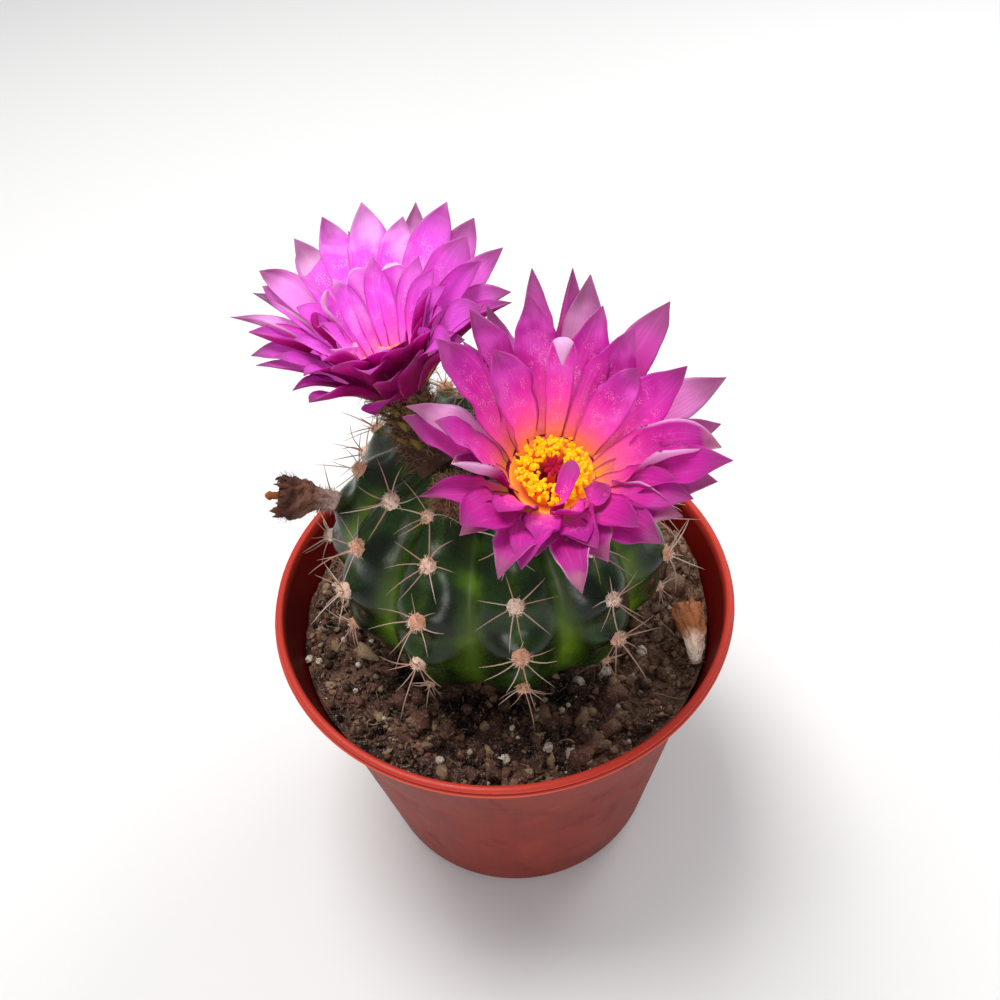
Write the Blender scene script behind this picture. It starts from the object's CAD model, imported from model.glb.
"""Looks of the potted round cactus in bloom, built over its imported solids.

Sizes are millimetres in the classes and metres in the meshes. -Y faces the viewer and +Z is up.
"""

import logging
from dataclasses import dataclass, field, replace
from enum import Enum
from typing import Mapping, Sequence

import bmesh
import bpy
import numpy as np
from mathutils import Matrix


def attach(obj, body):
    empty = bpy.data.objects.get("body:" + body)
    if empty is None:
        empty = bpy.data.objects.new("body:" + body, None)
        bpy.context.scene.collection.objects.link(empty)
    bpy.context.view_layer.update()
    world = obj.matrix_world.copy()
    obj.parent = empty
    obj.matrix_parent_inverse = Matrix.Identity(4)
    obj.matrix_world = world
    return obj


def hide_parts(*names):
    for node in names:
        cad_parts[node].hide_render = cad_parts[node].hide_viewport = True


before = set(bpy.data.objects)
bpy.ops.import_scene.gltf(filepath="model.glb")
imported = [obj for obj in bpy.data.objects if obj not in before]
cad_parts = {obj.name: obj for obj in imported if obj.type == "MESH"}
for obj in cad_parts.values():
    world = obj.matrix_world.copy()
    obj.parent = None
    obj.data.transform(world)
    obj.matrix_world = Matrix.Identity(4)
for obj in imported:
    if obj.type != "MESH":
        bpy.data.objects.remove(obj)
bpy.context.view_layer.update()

LOG = logging.getLogger("cactus")
Array = np.ndarray
Triple = tuple[float, float, float]
Colour = Triple
MM = 0.001
TURN = 2 * np.pi
GOLDEN = 137.5
GAP = 0.35
UP = np.array([0, 0, 1.0])
NO_QUADS = np.zeros((0, 4), int)


# Numbers and directions


def chance(i: Array | float, j: Array | float) -> Array:
    """Returns a repeatable number from 0 to 1 for each pair of counters: the fraction of a steep sine."""
    wave = np.sin(np.asarray(i, float) * 12.9898 + np.asarray(j, float) * 78.233) * 43758.5453
    return wave - np.floor(wave)


def jitter(i: Array | float, j: Array | float) -> Array:
    """Returns a repeatable number from -1 to 1 for each pair of counters."""
    return 2 * chance(i, j) - 1


def mix(a: Array | float, b: Array | float, share: Array | float) -> Array:
    """Returns the value that lies at a share of the way from a to b."""
    return a + (b - a) * share


def ease(value: Array, low: float, high: float) -> Array:
    """Returns 0 below low, 1 above high and a smooth cubic step between them."""
    share = np.clip((value - low) / (high - low), 0, 1)
    return share * share * (3 - 2 * share)


def unit(vectors: Array) -> Array:
    """Returns the vectors at length one."""
    return vectors / np.maximum(np.linalg.norm(vectors, axis=-1, keepdims=True), 1e-12)


def patches(x: Array, y: Array, seed: float) -> Array:
    """Blends random values on whole numbers of x and y with a cubic step.

    Args:
        x: First coordinate.
        y: Second coordinate.
        seed: Picks one of many fields.

    Returns:
        A smooth random field from -1 to 1 whose features are one unit wide.
    """
    i, j = np.floor(x), np.floor(y)
    u, v = ease(x - i, 0, 1), ease(y - j, 0, 1)

    def corner(a: Array, b: Array) -> Array:
        """Returns the random values at whole numbers."""
        return jitter(a + 57 * b, seed + 0.37 * b)

    low = mix(corner(i, j), corner(i + 1, j), u)
    high = mix(corner(i, j + 1), corner(i + 1, j + 1), u)
    return mix(low, high, v)


def spread(count: int, seed: float) -> Array:
    """Returns unit vectors in repeatable random directions, one row each."""
    index = np.arange(count)
    height, angle = jitter(index, seed), TURN * chance(index, seed + 0.5)
    flat = np.sqrt(1 - height**2)
    return np.stack([flat * np.cos(angle), flat * np.sin(angle), height], axis=-1)


def on_circle(angle: Array) -> Array:
    """Returns x and y pairs on the unit circle, counted from +X towards +Y."""
    return np.stack([np.cos(angle), np.sin(angle)], -1)


def from_front(angle: Array) -> Array:
    """Returns x and y pairs on the unit circle, counted from -Y, the front, towards +X."""
    return np.stack([np.sin(angle), -np.cos(angle)], -1)


def from_back(clock: Array) -> Array:
    """Returns level unit vectors, counted from +Y towards +X."""
    return np.stack([np.sin(clock), np.cos(clock), 0 * clock], -1)


def raised(flat: Array, height: Array | float) -> Array:
    """Returns x and y pairs as points at a height."""
    return np.concatenate([flat, np.broadcast_to(height, flat.shape[:-1])[..., None]], -1)


def axes(x: Array, y: Array, z: Array, origin: Array) -> Array:
    """Returns the 4 by 4 matrix of a frame."""
    made = np.eye(4)
    made[:3] = np.stack([x, y, z, origin], -1)
    return made


# Shapes


@dataclass
class Shape:
    """Points and faces of a closed surface, with named values per point that its finish reads."""

    points: Array
    quads: Array
    tris: Array
    values: dict[str, Array] = field(default_factory=dict)

    @staticmethod
    def joined(shapes: Sequence["Shape"]) -> "Shape":
        """Returns one shape that holds all the shapes, whose named values have to agree."""
        starts = np.cumsum([0] + [len(shape.points) for shape in shapes])
        names = shapes[0].values
        return Shape(
            np.concatenate([shape.points for shape in shapes]),
            np.concatenate([shape.quads + start for shape, start in zip(shapes, starts)]),
            np.concatenate([shape.tris + start for shape, start in zip(shapes, starts)]),
            {name: np.concatenate([shape.values[name] for shape in shapes]) for name in names},
        )

    def moved(self, matrix: Array) -> "Shape":
        """Returns the shape carried by a 4 by 4 matrix."""
        return Shape(self.points @ matrix[:3, :3].T + matrix[:3, 3], self.quads, self.tris, self.values)


def bands(rings: int, sides: int) -> Array:
    """Returns the quads between neighbouring rings, whose points are counted ring by ring."""
    ring = np.arange(rings - 1)[:, None] * sides
    side, after = np.arange(sides), np.roll(np.arange(sides), -1)
    return np.stack([ring + side, ring + after, ring + sides + after, ring + sides + side], -1).reshape(-1, 4)


def loft(rings: Array, values: Mapping[str, Array | float], ends: tuple[Array, Array]) -> Shape:
    """Closes batches of rings to surfaces: bands of quads between rings, and a fan of triangles to each pole.

    Each surface that comes out inside out, by the sign of its volume, has its faces turned round.

    Args:
        rings: Points, as surfaces by rings by points of a ring by three.
        values: Named values that fit the first three of those sizes.
        ends: First and last poles of the surfaces.

    Returns:
        All the surfaces as one shape.
    """
    count, steps, sides, _ = rings.shape
    points = np.concatenate([rings.reshape(count, -1, 3), ends[0][:, None], ends[1][:, None]], axis=1)
    side, after = np.arange(sides), np.roll(np.arange(sides), -1)
    quads = bands(steps, sides)
    top = (steps - 1) * sides
    pole = np.full(sides, steps * sides)
    fans = [pole, after, side], [pole + 1, top + side, top + after]
    tris = np.concatenate([np.stack(fan, -1) for fan in fans])
    corners = np.concatenate([quads[:, [0, 1, 2]], quads[:, [0, 2, 3]], tris])
    a, b, c = (points[:, corners[:, k]] - points[:, :1] for k in range(3))
    inverted = (np.einsum("npk,npk->n", a, np.cross(b, c)) < 0)[:, None, None]
    start = (np.arange(count) * points.shape[1])[:, None, None]
    quads = np.where(inverted, quads[None, :, ::-1], quads[None]) + start
    tris = np.where(inverted, tris[None, :, ::-1], tris[None]) + start
    kept = {}
    for name, value in values.items():
        full = np.broadcast_to(value, (count, steps, sides))
        poles = np.stack([full[:, 0].mean(axis=1), full[:, -1].mean(axis=1)], -1)
        kept[name] = np.concatenate([full.reshape(count, -1), poles], axis=1).ravel()
    return Shape(points.reshape(-1, 3), quads.reshape(-1, 4), tris.reshape(-1, 3), kept)


def strands(paths: Array, radii: Array, sides: int, values: Mapping[str, Array | float]) -> Shape:
    """Carries a round section along each path, as thin as its radius there, and closes both ends.

    Args:
        paths: Points, as strands by steps by three.
        radii: Radius at each step, as strands by steps.
        sides: Points round a section.
        values: Named values as strands by steps.

    Returns:
        All the strands as one shape.
    """
    along = unit(np.gradient(paths, axis=1))
    upright = np.abs(along[:, :1, 2:]) > 0.9
    aside = np.where(upright, np.array([1.0, 0, 0]), UP)
    u = unit(np.cross(aside, along))
    v = np.cross(along, u)
    angle = (TURN * np.arange(sides) / sides)[:, None]
    round_about = np.cos(angle) * u[:, :, None] + np.sin(angle) * v[:, :, None]
    rings = paths[:, :, None] + radii[:, :, None, None] * round_about
    spans = {name: np.broadcast_to(value, radii.shape)[..., None] for name, value in values.items()}
    return loft(rings, spans, (paths[:, 0], paths[:, -1]))


def hairs(
    roots: Array, along: Array, lengths: Array, radius: float, curl: float, seed: float, steps: int = 5,
    tone: Array | None = None,
) -> Shape:
    """Makes thin hairs that start straight, bend aside with the square of the share along, and taper.

    Args:
        roots: Where the hairs start.
        along: Unit directions that they start in.
        lengths: Their lengths.
        radius: Their mean radius at the root.
        curl: Sideways bend of the tip as a share of the length.
        seed: Picks the random numbers.
        steps: Points per hair.
        tone: One tone per hair. Left out, it is random.

    Returns:
        All the hairs as one shape.
    """
    share = np.linspace(0, 1, steps)
    s = share[None, :, None]
    aside = unit(np.cross(along, spread(len(roots), seed)))[:, None]
    bend = curl * s**2 * aside + 0.3 * curl * np.sin(TURN * s) * np.cross(along[:, None], aside)
    paths = roots[:, None] + lengths[:, None, None] * (s * along[:, None] + bend)
    index = np.arange(len(roots))[:, None]
    radii = radius * mix(0.7, 1.3, chance(index, seed + 2)) * (1 - 0.75 * share**2)
    tone = chance(index, seed + 3) if tone is None else tone[:, None]
    return strands(paths, radii, 3, {"along": share, "tone": tone})


def ball(detail: int) -> tuple[Array, Array]:
    """Returns points and triangles of an icosahedron, each face cut in four as often as the detail says."""
    gold = (1 + np.sqrt(5)) / 2
    short = np.array([[-1, gold, 0], [1, gold, 0], [-1, -gold, 0], [1, -gold, 0]])
    points = unit(np.concatenate([short, np.roll(short, 1, axis=1), np.roll(short, 2, axis=1)]))
    corner = np.array(
        [[0, 11, 5], [0, 5, 1], [0, 1, 7], [0, 7, 10], [0, 10, 11], [1, 5, 9], [5, 11, 4], [11, 10, 2],
         [10, 7, 6], [7, 1, 8], [3, 9, 4], [3, 4, 2], [3, 2, 6], [3, 6, 8], [3, 8, 9], [4, 9, 5], [2, 4, 11],
         [6, 2, 10], [8, 6, 7], [9, 8, 1]]
    )
    for _ in range(detail):
        edges = np.sort(np.concatenate([corner[:, [0, 1]], corner[:, [1, 2]], corner[:, [2, 0]]]), axis=1)
        pairs, place = np.unique(edges, axis=0, return_inverse=True)
        middle = (place.reshape(-1) + len(points)).reshape(3, -1)
        points = np.concatenate([points, unit(points[pairs].mean(axis=1))])
        a, b, c = corner.T
        ab, bc, ca = middle
        corner = np.concatenate(
            [np.stack(three, -1) for three in ((a, ab, ca), (b, bc, ab), (c, ca, bc), (ab, bc, ca))]
        )
    a, b, c = (points[corner[:, k]] for k in range(3))
    outward = np.einsum("ij,ij->i", a, np.cross(b, c)) > 0
    return points, np.where(outward[:, None], corner, corner[:, ::-1])


def lumps(centres: Array, sizes: Array, rough: float, seed: float, detail: int) -> Shape:
    """Makes irregular lumps: balls with randomly swollen points, stretched and turned at random.

    Args:
        centres: Middle of each lump.
        sizes: Half extents of each lump, as lumps by three.
        rough: Share by which the points move in and out.
        seed: Picks the random numbers.
        detail: How often the ball's faces are cut in four.

    Returns:
        All the lumps as one shape.
    """
    points, faces = ball(detail)
    index = np.arange(len(centres))
    swell = 1 + rough * jitter(np.arange(len(points))[None], seed + 1.7 * index[:, None])
    first = spread(len(centres), seed + 5)
    second = unit(np.cross(first, spread(len(centres), seed + 6)))
    turn = np.stack([first, second, np.cross(first, second)], axis=1)
    local = points[None] * swell[..., None] * sizes[:, None]
    placed = centres[:, None] + np.einsum("npk,nkl->npl", local, turn)
    tris = faces[None] + (index * len(points))[:, None, None]
    tone = np.repeat(chance(index, seed + 7), len(points))
    return Shape(placed.reshape(-1, 3), NO_QUADS, tris.reshape(-1, 3), {"tone": tone, "along": tone * 0})


def curve(foot: Array, knee: Array, tip: Array, share: Array) -> Array:
    """Returns points of quadratic curves from foot over knee to tip, as curves by shares by three."""
    s = share[None, :, None]
    return (1 - s) ** 2 * foot[:, None] + 2 * s * (1 - s) * knee[:, None] + s**2 * tip[:, None]


@dataclass(frozen=True)
class BladeForm:
    """How a petal, scale or shred is cut: its outline, section and thickness."""

    foot_width: float = 0.32
    widest: float = 0.62
    taper_from: float = 0.55
    taper_power: float | Array = 2.1
    thickness: float = 0.28
    cup: float = 0.2
    roll: float = 0.2
    stations: int = 26
    columns: int = 13

    def half_width(self, share: Array) -> Array:
        """Returns the half width as a share of the widest: it swells as a sine, then tapers as a power."""
        swell = mix(self.foot_width, 1, np.sin(np.minimum(share / self.widest, 1) * np.pi / 2))
        late = np.clip((share - self.taper_from) / (1 - self.taper_from), 0, 1)
        return swell * (1 - late**self.taper_power) * (1 - 0.3 * late**5)


@dataclass
class Blades:
    """A batch of petals, scales or shreds, each grown along its own curve.

    The midrib is a quadratic curve. The section turns by an angle that changes across it, so that it cups,
    rolls to one side and folds over at an edge. Its points are running sums of the angle's cosine and sine.
    """

    foot: Array
    knee: Array
    tip: Array
    face: Array
    width: Array
    seed: float
    form: BladeForm
    fold_left: Array
    fold_right: Array
    twist: Array
    bend: Array
    wave: float = 0.12
    ragged: float = 0.05
    level: Array | float = 0.0
    pale: Array | float = 0.0
    tone: Array | float | None = None

    def midrib(self, share: Array) -> tuple[Array, Array, Array]:
        """Returns points, directions and upward vectors of the midribs.

        The curve's direction turns towards the face by the bend over the last third, and the points are the
        running sum of the turned steps.
        """
        speed = np.gradient(curve(self.foot, self.knee, self.tip, share), share, axis=1)
        run = unit(speed)
        up = unit(self.face[:, None] - np.sum(self.face[:, None] * run, -1, keepdims=True) * run)
        turn = (self.bend[:, None] * ease(share, 0.62, 0.92)[None])[..., None]
        run, up = np.cos(turn) * run + np.sin(turn) * up, np.cos(turn) * up - np.sin(turn) * run
        pace = run * np.linalg.norm(speed, axis=-1, keepdims=True)
        steps = 0.5 * (pace[:, 1:] + pace[:, :-1]) * np.diff(share)[None, :, None]
        return self.foot[:, None] + np.concatenate([0 * steps[:, :1], np.cumsum(steps, 1)], 1), run, up

    def section(self, s: Array, w: Array) -> Array:
        """Returns the section's angle at shares along and across.

        It grows evenly across by the cup, less the roll. Towards the edges it takes up the folds, and two
        waves that run along the blade.
        """
        grow = ease(s, 0.15, 0.6)
        angle = 2 * self.form.cup * w - self.form.roll
        angle = angle + grow * (self.fold_right[:, None, None] * ease(w, 0.1, 0.9))
        angle = angle - grow * (self.fold_left[:, None, None] * ease(-w, 0.1, 0.9))
        phase = chance(np.arange(len(self.foot))[:, None, None], self.seed + 4)
        angle = angle + self.wave * np.sin(TURN * (2.2 * s + 0.35 * w + phase)) * np.abs(w)
        return angle + 0.35 * self.wave * np.sin(TURN * (5.1 * s + 0.5 * w - 2 * phase)) * w

    def shape(self) -> Shape:
        """Returns the blades as closed surfaces with all the values that their finish reads."""
        form = self.form
        share = 0.994 * np.linspace(0, 1, form.stations) ** 0.92
        across = np.linspace(-1, 1, form.columns)
        spine, run, up = self.midrib(share)
        side = np.cross(run, up)
        turn = (self.twist[:, None] * share[None] ** 2)[..., None]
        side, up = np.cos(turn) * side + np.sin(turn) * up, np.cos(turn) * up - np.sin(turn) * side
        s, w = share[None, :, None], across[None, None]
        index = np.arange(len(self.foot))[:, None, None]
        angle = self.section(s, w)
        step = across[1] - across[0]
        sums = [np.concatenate([0 * f[..., :1], np.cumsum((f[..., 1:] + f[..., :-1]) * step / 2, -1)], -1)
                for f in (np.cos(angle), np.sin(angle))]
        middle = form.columns // 2
        out, rise = (total - total[..., middle : middle + 1] for total in sums)
        notch = patches(6.5 * s + 13 * index, 3 * np.sign(w), self.seed + 7)
        notch = notch + 0.4 * patches(19 * s + 7 * index, 3 * np.sign(w), self.seed + 8)
        out = out * (1 + self.ragged * notch * w**2)
        half = (0.5 * self.width[:, None] * form.half_width(share))[..., None]
        thick = form.thickness * np.sqrt(np.clip(1 - w**4, 0, 1)) * (1 - 0.6 * s)
        rib = 0.16 * form.thickness * np.exp(-((w / 0.16) ** 2)) * (1 - s)
        order = np.concatenate([np.arange(form.columns), np.arange(form.columns - 2, 0, -1)])
        sign = np.concatenate([np.ones(form.columns), -np.ones(form.columns - 2)])
        lift = sign * (thick / 2)[..., order] - (rib * np.ones_like(rise))[..., order]
        x = half * out[..., order] - np.sin(angle[..., order]) * lift
        y = half * rise[..., order] + np.cos(angle[..., order]) * lift
        rings = spine[:, :, None] + x[..., None] * side[:, :, None] + y[..., None] * up[:, :, None]
        edge = np.abs(across[order]) > 0.999
        tone = chance(index, self.seed + 6) if self.tone is None else self.tone
        tone = np.reshape(np.clip(tone, 0, 1), (-1, 1, 1))
        rim = 0.9 - 0.7 * ease(s, 0.06, 0.35) * tone
        values = {
            "along": s,
            "across": across[order],
            "tone": tone,
            "level": np.reshape(self.level, (-1, 1, 1)),
            "pale": np.reshape(self.pale, (-1, 1, 1)),
            "under": np.where(edge, rim, (1 - sign) / 2),
        }
        return loft(rings, values, (spine[:, 0], 1.1 * spine[:, -1] - 0.1 * spine[:, -2]))


def turned(profile: Array, sides: int) -> Array:
    """Returns a profile of radius and height pairs turned about +Z, as profile points by sides by three."""
    return raised(profile[:, :1, None] * on_circle(TURN * np.arange(sides) / sides), profile[:, 1:])


def welded(sheets: Sequence[tuple[Array, Array]]) -> Shape:
    """Returns sheets of points and quads as one closed surface, joined where their edges meet."""
    starts = np.cumsum([0] + [len(points) for points, _ in sheets])
    points = np.concatenate([points for points, _ in sheets])
    quads = np.concatenate([quads + start for (_, quads), start in zip(sheets, starts)])
    sheet = bpy.data.meshes.new("sheet")
    sheet.from_pydata(points.tolist(), [], quads.tolist())
    shell = bmesh.new()
    shell.from_mesh(sheet)
    bmesh.ops.remove_doubles(shell, verts=shell.verts, dist=1e-3)
    bmesh.ops.dissolve_degenerate(shell, edges=shell.edges, dist=1e-4)
    bmesh.ops.recalc_face_normals(shell, faces=shell.faces)
    bmesh.ops.triangulate(shell, faces=[face for face in shell.faces if len(face.verts) != 4])
    shell.to_mesh(sheet)
    shell.free()
    points = np.empty(3 * len(sheet.vertices))
    sheet.vertices.foreach_get("co", points)
    total = np.empty(len(sheet.polygons), int)
    sheet.polygons.foreach_get("loop_total", total)
    corner = np.empty(len(sheet.loops), int)
    sheet.loops.foreach_get("vertex_index", corner)
    starts = np.concatenate([[0], np.cumsum(total)[:-1]])
    quads, tris = (corner[starts[total == count][:, None] + np.arange(count)] for count in (4, 3))
    bpy.data.meshes.remove(sheet)
    return Shape(points.reshape(-1, 3), quads, tris)


def rounded(profile: Array, cut: float, steps: int = 3) -> Array:
    """Rounds the inner corners of a profile: each becomes a short quadratic curve from a cut before it."""
    before, corner, after = profile[:-2], profile[1:-1], profile[2:]

    def toward(end: Array) -> Array:
        """Returns the points a cut away from the corners, or less on a short side."""
        reach = np.linalg.norm(end - corner, axis=1, keepdims=True)
        return corner + (end - corner) / reach * np.minimum(cut, 0.42 * reach)

    start, stop = toward(before)[:, None], toward(after)[:, None]
    s = np.linspace(0, 1, steps)[None, :, None]
    bends = (1 - s) ** 2 * start + 2 * s * (1 - s) * corner[:, None] + s**2 * stop
    return np.concatenate([profile[:1], bends.reshape(-1, 2), profile[-1:]])


# Shader expressions


class Value:
    """A shader socket as a Python value. Arithmetic on it adds Math nodes."""

    def __init__(self, shader: "Shader", socket: bpy.types.NodeSocket) -> None:
        """Keeps the socket and the shader that it belongs to."""
        self.shader = shader
        self.socket = socket

    def math(self, operation: str, *terms: "Value | float") -> "Value":
        """Returns a Math node's result over the terms."""
        return self.shader.node("ShaderNodeMath", {"operation": operation}, dict(enumerate(terms)))

    def __add__(self, other: "Value | float") -> "Value":
        """Returns self + other."""
        return self.math("ADD", self, other)

    def __radd__(self, other: float) -> "Value":
        """Returns other + self."""
        return self.math("ADD", other, self)

    def __sub__(self, other: "Value | float") -> "Value":
        """Returns self - other."""
        return self.math("SUBTRACT", self, other)

    def __rsub__(self, other: float) -> "Value":
        """Returns other - self."""
        return self.math("SUBTRACT", other, self)

    def __mul__(self, other: "Value | float") -> "Value":
        """Returns self * other."""
        return self.math("MULTIPLY", self, other)

    def __rmul__(self, other: float) -> "Value":
        """Returns other * self."""
        return self.math("MULTIPLY", other, self)

    def sine(self) -> "Value":
        """Returns the sine."""
        return self.math("SINE", self)

    def size(self) -> "Value":
        """Returns the value without its sign."""
        return self.math("ABSOLUTE", self)

    def eased(self, low: float, high: float) -> "Value":
        """Returns 0 below low, 1 above high and a smooth step between them."""
        settings = {"interpolation_type": "SMOOTHSTEP"}
        return self.shader.node("ShaderNodeMapRange", settings, {0: self, 1: low, 2: high, 3: 0.0, 4: 1.0})


Paint = Value | Colour


def tint(red: int, green: int, blue: int) -> Colour:
    """Returns a screen colour, given from 0 to 255, as linear light."""
    shares = np.array([red, green, blue]) / 255
    linear = np.where(shares <= 0.04045, shares / 12.92, ((shares + 0.055) / 1.055) ** 2.4)
    return tuple(float(value) for value in linear)


class Shader:
    """One material's node tree, written as Python expressions."""

    def __init__(self, name: str) -> None:
        """Makes an empty material."""
        self.material = bpy.data.materials.new(name)
        self.material.use_nodes = True
        self.tree = self.material.node_tree
        self.tree.nodes.clear()

    def node(self, kind: str, settings: Mapping, inputs: Mapping, output: int | str = 0) -> Value | None:
        """Adds a node.

        Args:
            kind: The node's type.
            settings: Its own settings, and 'stops' for a colour ramp's places and colours.
            inputs: Values or links by socket name or number.
            output: The socket that the result reads.

        Returns:
            The output socket as a value, or nothing from a node that has none.
        """
        made = self.tree.nodes.new(kind)
        for name, setting in settings.items():
            if name == "stops":
                self.set_stops(made.color_ramp, setting)
            else:
                setattr(made, name, setting)
        for name, value in inputs.items():
            socket = made.inputs[name]
            if isinstance(value, Value):
                self.tree.links.new(value.socket, socket)
            elif isinstance(value, tuple) and socket.type == "RGBA":
                socket.default_value = (*value, 1.0)
            else:
                socket.default_value = value
        return Value(self, made.outputs[output]) if made.outputs else None

    @staticmethod
    def set_stops(ramp: bpy.types.ColorRamp, stops: Sequence[tuple[float, Colour]]) -> None:
        """Puts places and colours on a colour ramp."""
        while len(ramp.elements) < len(stops):
            ramp.elements.new(1.0)
        for element, (place, colour) in zip(ramp.elements, stops):
            element.position = place
            element.color = (*colour, 1.0)

    def own(self, name: str) -> Value:
        """Returns a named value of the mesh's points."""
        return self.node("ShaderNodeAttribute", {"attribute_name": name}, {}, "Fac")

    def place(self, stretch: Triple = (1, 1, 1)) -> Value:
        """Returns the object's own coordinates in millimetres, stretched by three factors."""
        spot = self.node("ShaderNodeTexCoord", {}, {}, "Object")
        scale = tuple(factor / MM for factor in stretch)
        return self.node("ShaderNodeMapping", {}, {"Vector": spot, "Scale": scale})

    def pair(self, first: Value, second: Value) -> Value:
        """Returns a vector of two values."""
        return self.node("ShaderNodeCombineXYZ", {}, {"X": first, "Y": second})

    def part(self, vector: Value, axis: str) -> Value:
        """Returns one coordinate of a vector."""
        return self.node("ShaderNodeSeparateXYZ", {}, {"Vector": vector}, axis)

    def noise(self, spot: Value, scale: float, detail: float = 3, distortion: float = 0) -> Value:
        """Returns cloudy noise around one half, with so many features per unit."""
        inputs = {"Vector": spot, "Scale": scale, "Detail": detail, "Distortion": distortion}
        return self.node("ShaderNodeTexNoise", {}, inputs)

    def cells(self, spot: Value, scale: float, feature: str = "F1") -> Value:
        """Returns the distance to the nearest of scattered points, or to the nearest border between them."""
        inputs = {"Vector": spot, "Scale": scale}
        return self.node("ShaderNodeTexVoronoi", {"feature": feature}, inputs, "Distance")

    def ramp(self, value: Value, stops: Sequence[tuple[float, Colour]]) -> Value:
        """Returns a colour that changes with a value."""
        return self.node("ShaderNodeValToRGB", {"stops": stops}, {0: value})

    def blend(self, share: Value | float, first: Paint, second: Paint) -> Value:
        """Returns a colour between two."""
        settings = {"data_type": "RGBA", "blend_type": "MIX", "clamp_factor": True}
        return self.node("ShaderNodeMix", settings, {0: share, 6: first, 7: second}, 2)

    def coats(self, base: Paint, *coats: tuple[Value | float, Paint]) -> Paint:
        """Returns a colour under coats, each of them a share and a colour."""
        for share, colour in coats:
            base = self.blend(share, base, colour)
        return base

    def bump(self, height: Value, depth: float, strength: float = 1.0) -> Value:
        """Returns a normal bent by a height field whose full range is a depth in millimetres."""
        inputs = {"Strength": strength, "Distance": depth * MM, "Height": height}
        return self.node("ShaderNodeBump", {}, inputs)

    def surface(self, **inputs: "Paint | float") -> bpy.types.Material:
        """Closes the material with one surface shader. Input names stand with _ for a space."""
        named = {name.replace("_", " "): value for name, value in inputs.items()}
        shine = self.node("ShaderNodeBsdfPrincipled", {}, named)
        self.node("ShaderNodeOutputMaterial", {}, {"Surface": shine})
        return self.material


# Finishes


@dataclass(frozen=True)
class PotPlastic:
    """Dull reddish brown moulded plastic, brighter at the lip, with faint streaks and dark smudges."""

    wall: Colour = tint(126, 36, 24)
    worn: Colour = tint(146, 54, 38)
    lip: Colour = tint(192, 56, 43)
    rubbed: Colour = tint(244, 124, 100)
    inner: Colour = tint(102, 5, 3)
    smudge: Colour = tint(84, 30, 26)

    def material(self) -> bpy.types.Material:
        """Returns the material."""
        shader = Shader("pot_plastic")
        spot = shader.place()
        streaks = shader.noise(shader.place((1, 1, 0.06)), 0.5, 4, 0.6)
        broad = shader.noise(shader.place((1, 1, 0.12)), 0.06, 2, 0.4)
        cloud = shader.noise(spot, 0.09, 3, 0.8)
        blotch = shader.noise(spot, 0.13, 4, 0.6).eased(0.54, 0.74)
        lip = shader.own("lip")
        low = 1 - shader.part(spot, "Z").eased(30.0, 58.0)
        scratch = shader.cells(shader.place((0.5, 0.5, 0.12)), 0.45, "DISTANCE_TO_EDGE").eased(0.0, 0.012)
        base = shader.coats(
            self.wall,
            (streaks.eased(0.35, 0.7) * 0.35 + broad.eased(0.45, 0.62) * 0.5, self.worn),
            (cloud.eased(0.4, 0.65) * 0.3, self.smudge),
            (blotch * (1 - low * 0.6) * 0.45, self.smudge),
            (shader.own("inside"), self.inner),
            (lip, self.lip),
            (shader.own("edge") * 0.6, self.rubbed),
            ((1 - scratch) * 0.12, self.worn),
        )
        return shader.surface(
            Base_Color=base,
            Roughness=0.34 + 0.2 * streaks + 0.12 * blotch + 0.2 * broad - 0.16 * lip,
            Normal=shader.bump(streaks * 0.5 + shader.noise(spot, 2.2, 2) * 0.25 + scratch * 0.25, 0.06, 0.6),
            Specular_IOR_Level=0.19,
        )


@dataclass(frozen=True)
class Peat:
    """Dark brown fibrous soil, from near black to olive brown, dustier at the right, matte all over."""

    dark: Colour = tint(22, 13, 13)
    brown: Colour = tint(124, 88, 73)
    olive: Colour = tint(178, 153, 120)
    fibre: Colour = tint(208, 186, 164)
    dusty: Colour = tint(156, 122, 98)
    name: str = "peat"

    def material(self) -> bpy.types.Material:
        """Returns the material."""
        shader = Shader(self.name)
        spot = shader.place()
        coarse, fine = shader.noise(spot, 0.35, 4, 1.0), shader.noise(spot, 2.5, 4, 0.6)
        tone = shader.own("tone")
        right = shader.part(spot, "X").eased(8.0, 28.0)
        base = shader.coats(
            self.dark,
            (coarse.eased(0.42, 0.62) * 0.35 + tone.eased(0.2, 0.75) * 0.65, self.brown),
            (tone.eased(0.78, 0.95) * 0.8, self.olive),
            (right * (0.2 + 0.5 * fine), self.dusty),
            (fine.eased(0.56, 0.7) * 0.5, self.fibre),
            ((1 - fine).eased(0.56, 0.72) * 0.6, self.dark),
        )
        return shader.surface(
            Base_Color=base,
            Roughness=0.86 + 0.12 * fine,
            Normal=shader.bump(fine * 0.7 + coarse * 0.3, 0.5, 0.8),
            Specular_IOR_Level=0.25,
        )


@dataclass(frozen=True)
class Perlite:
    """White porous volcanic grains with a few grey pits."""

    white: Colour = tint(238, 226, 206)
    grey: Colour = tint(168, 148, 130)

    def material(self) -> bpy.types.Material:
        """Returns the material."""
        shader = Shader("perlite")
        spot = shader.place()
        pits = shader.cells(spot, 3.0)
        cloud = shader.noise(spot, 1.4, 3)
        pitted = (1 - pits.eased(0.05, 0.3)) * 0.5
        return shader.surface(
            Base_Color=shader.coats(self.white, (cloud.eased(0.45, 0.7), self.grey), (pitted, self.grey)),
            Roughness=0.8 + 0.15 * cloud,
            Normal=shader.bump(pits, 0.25),
        )


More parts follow.
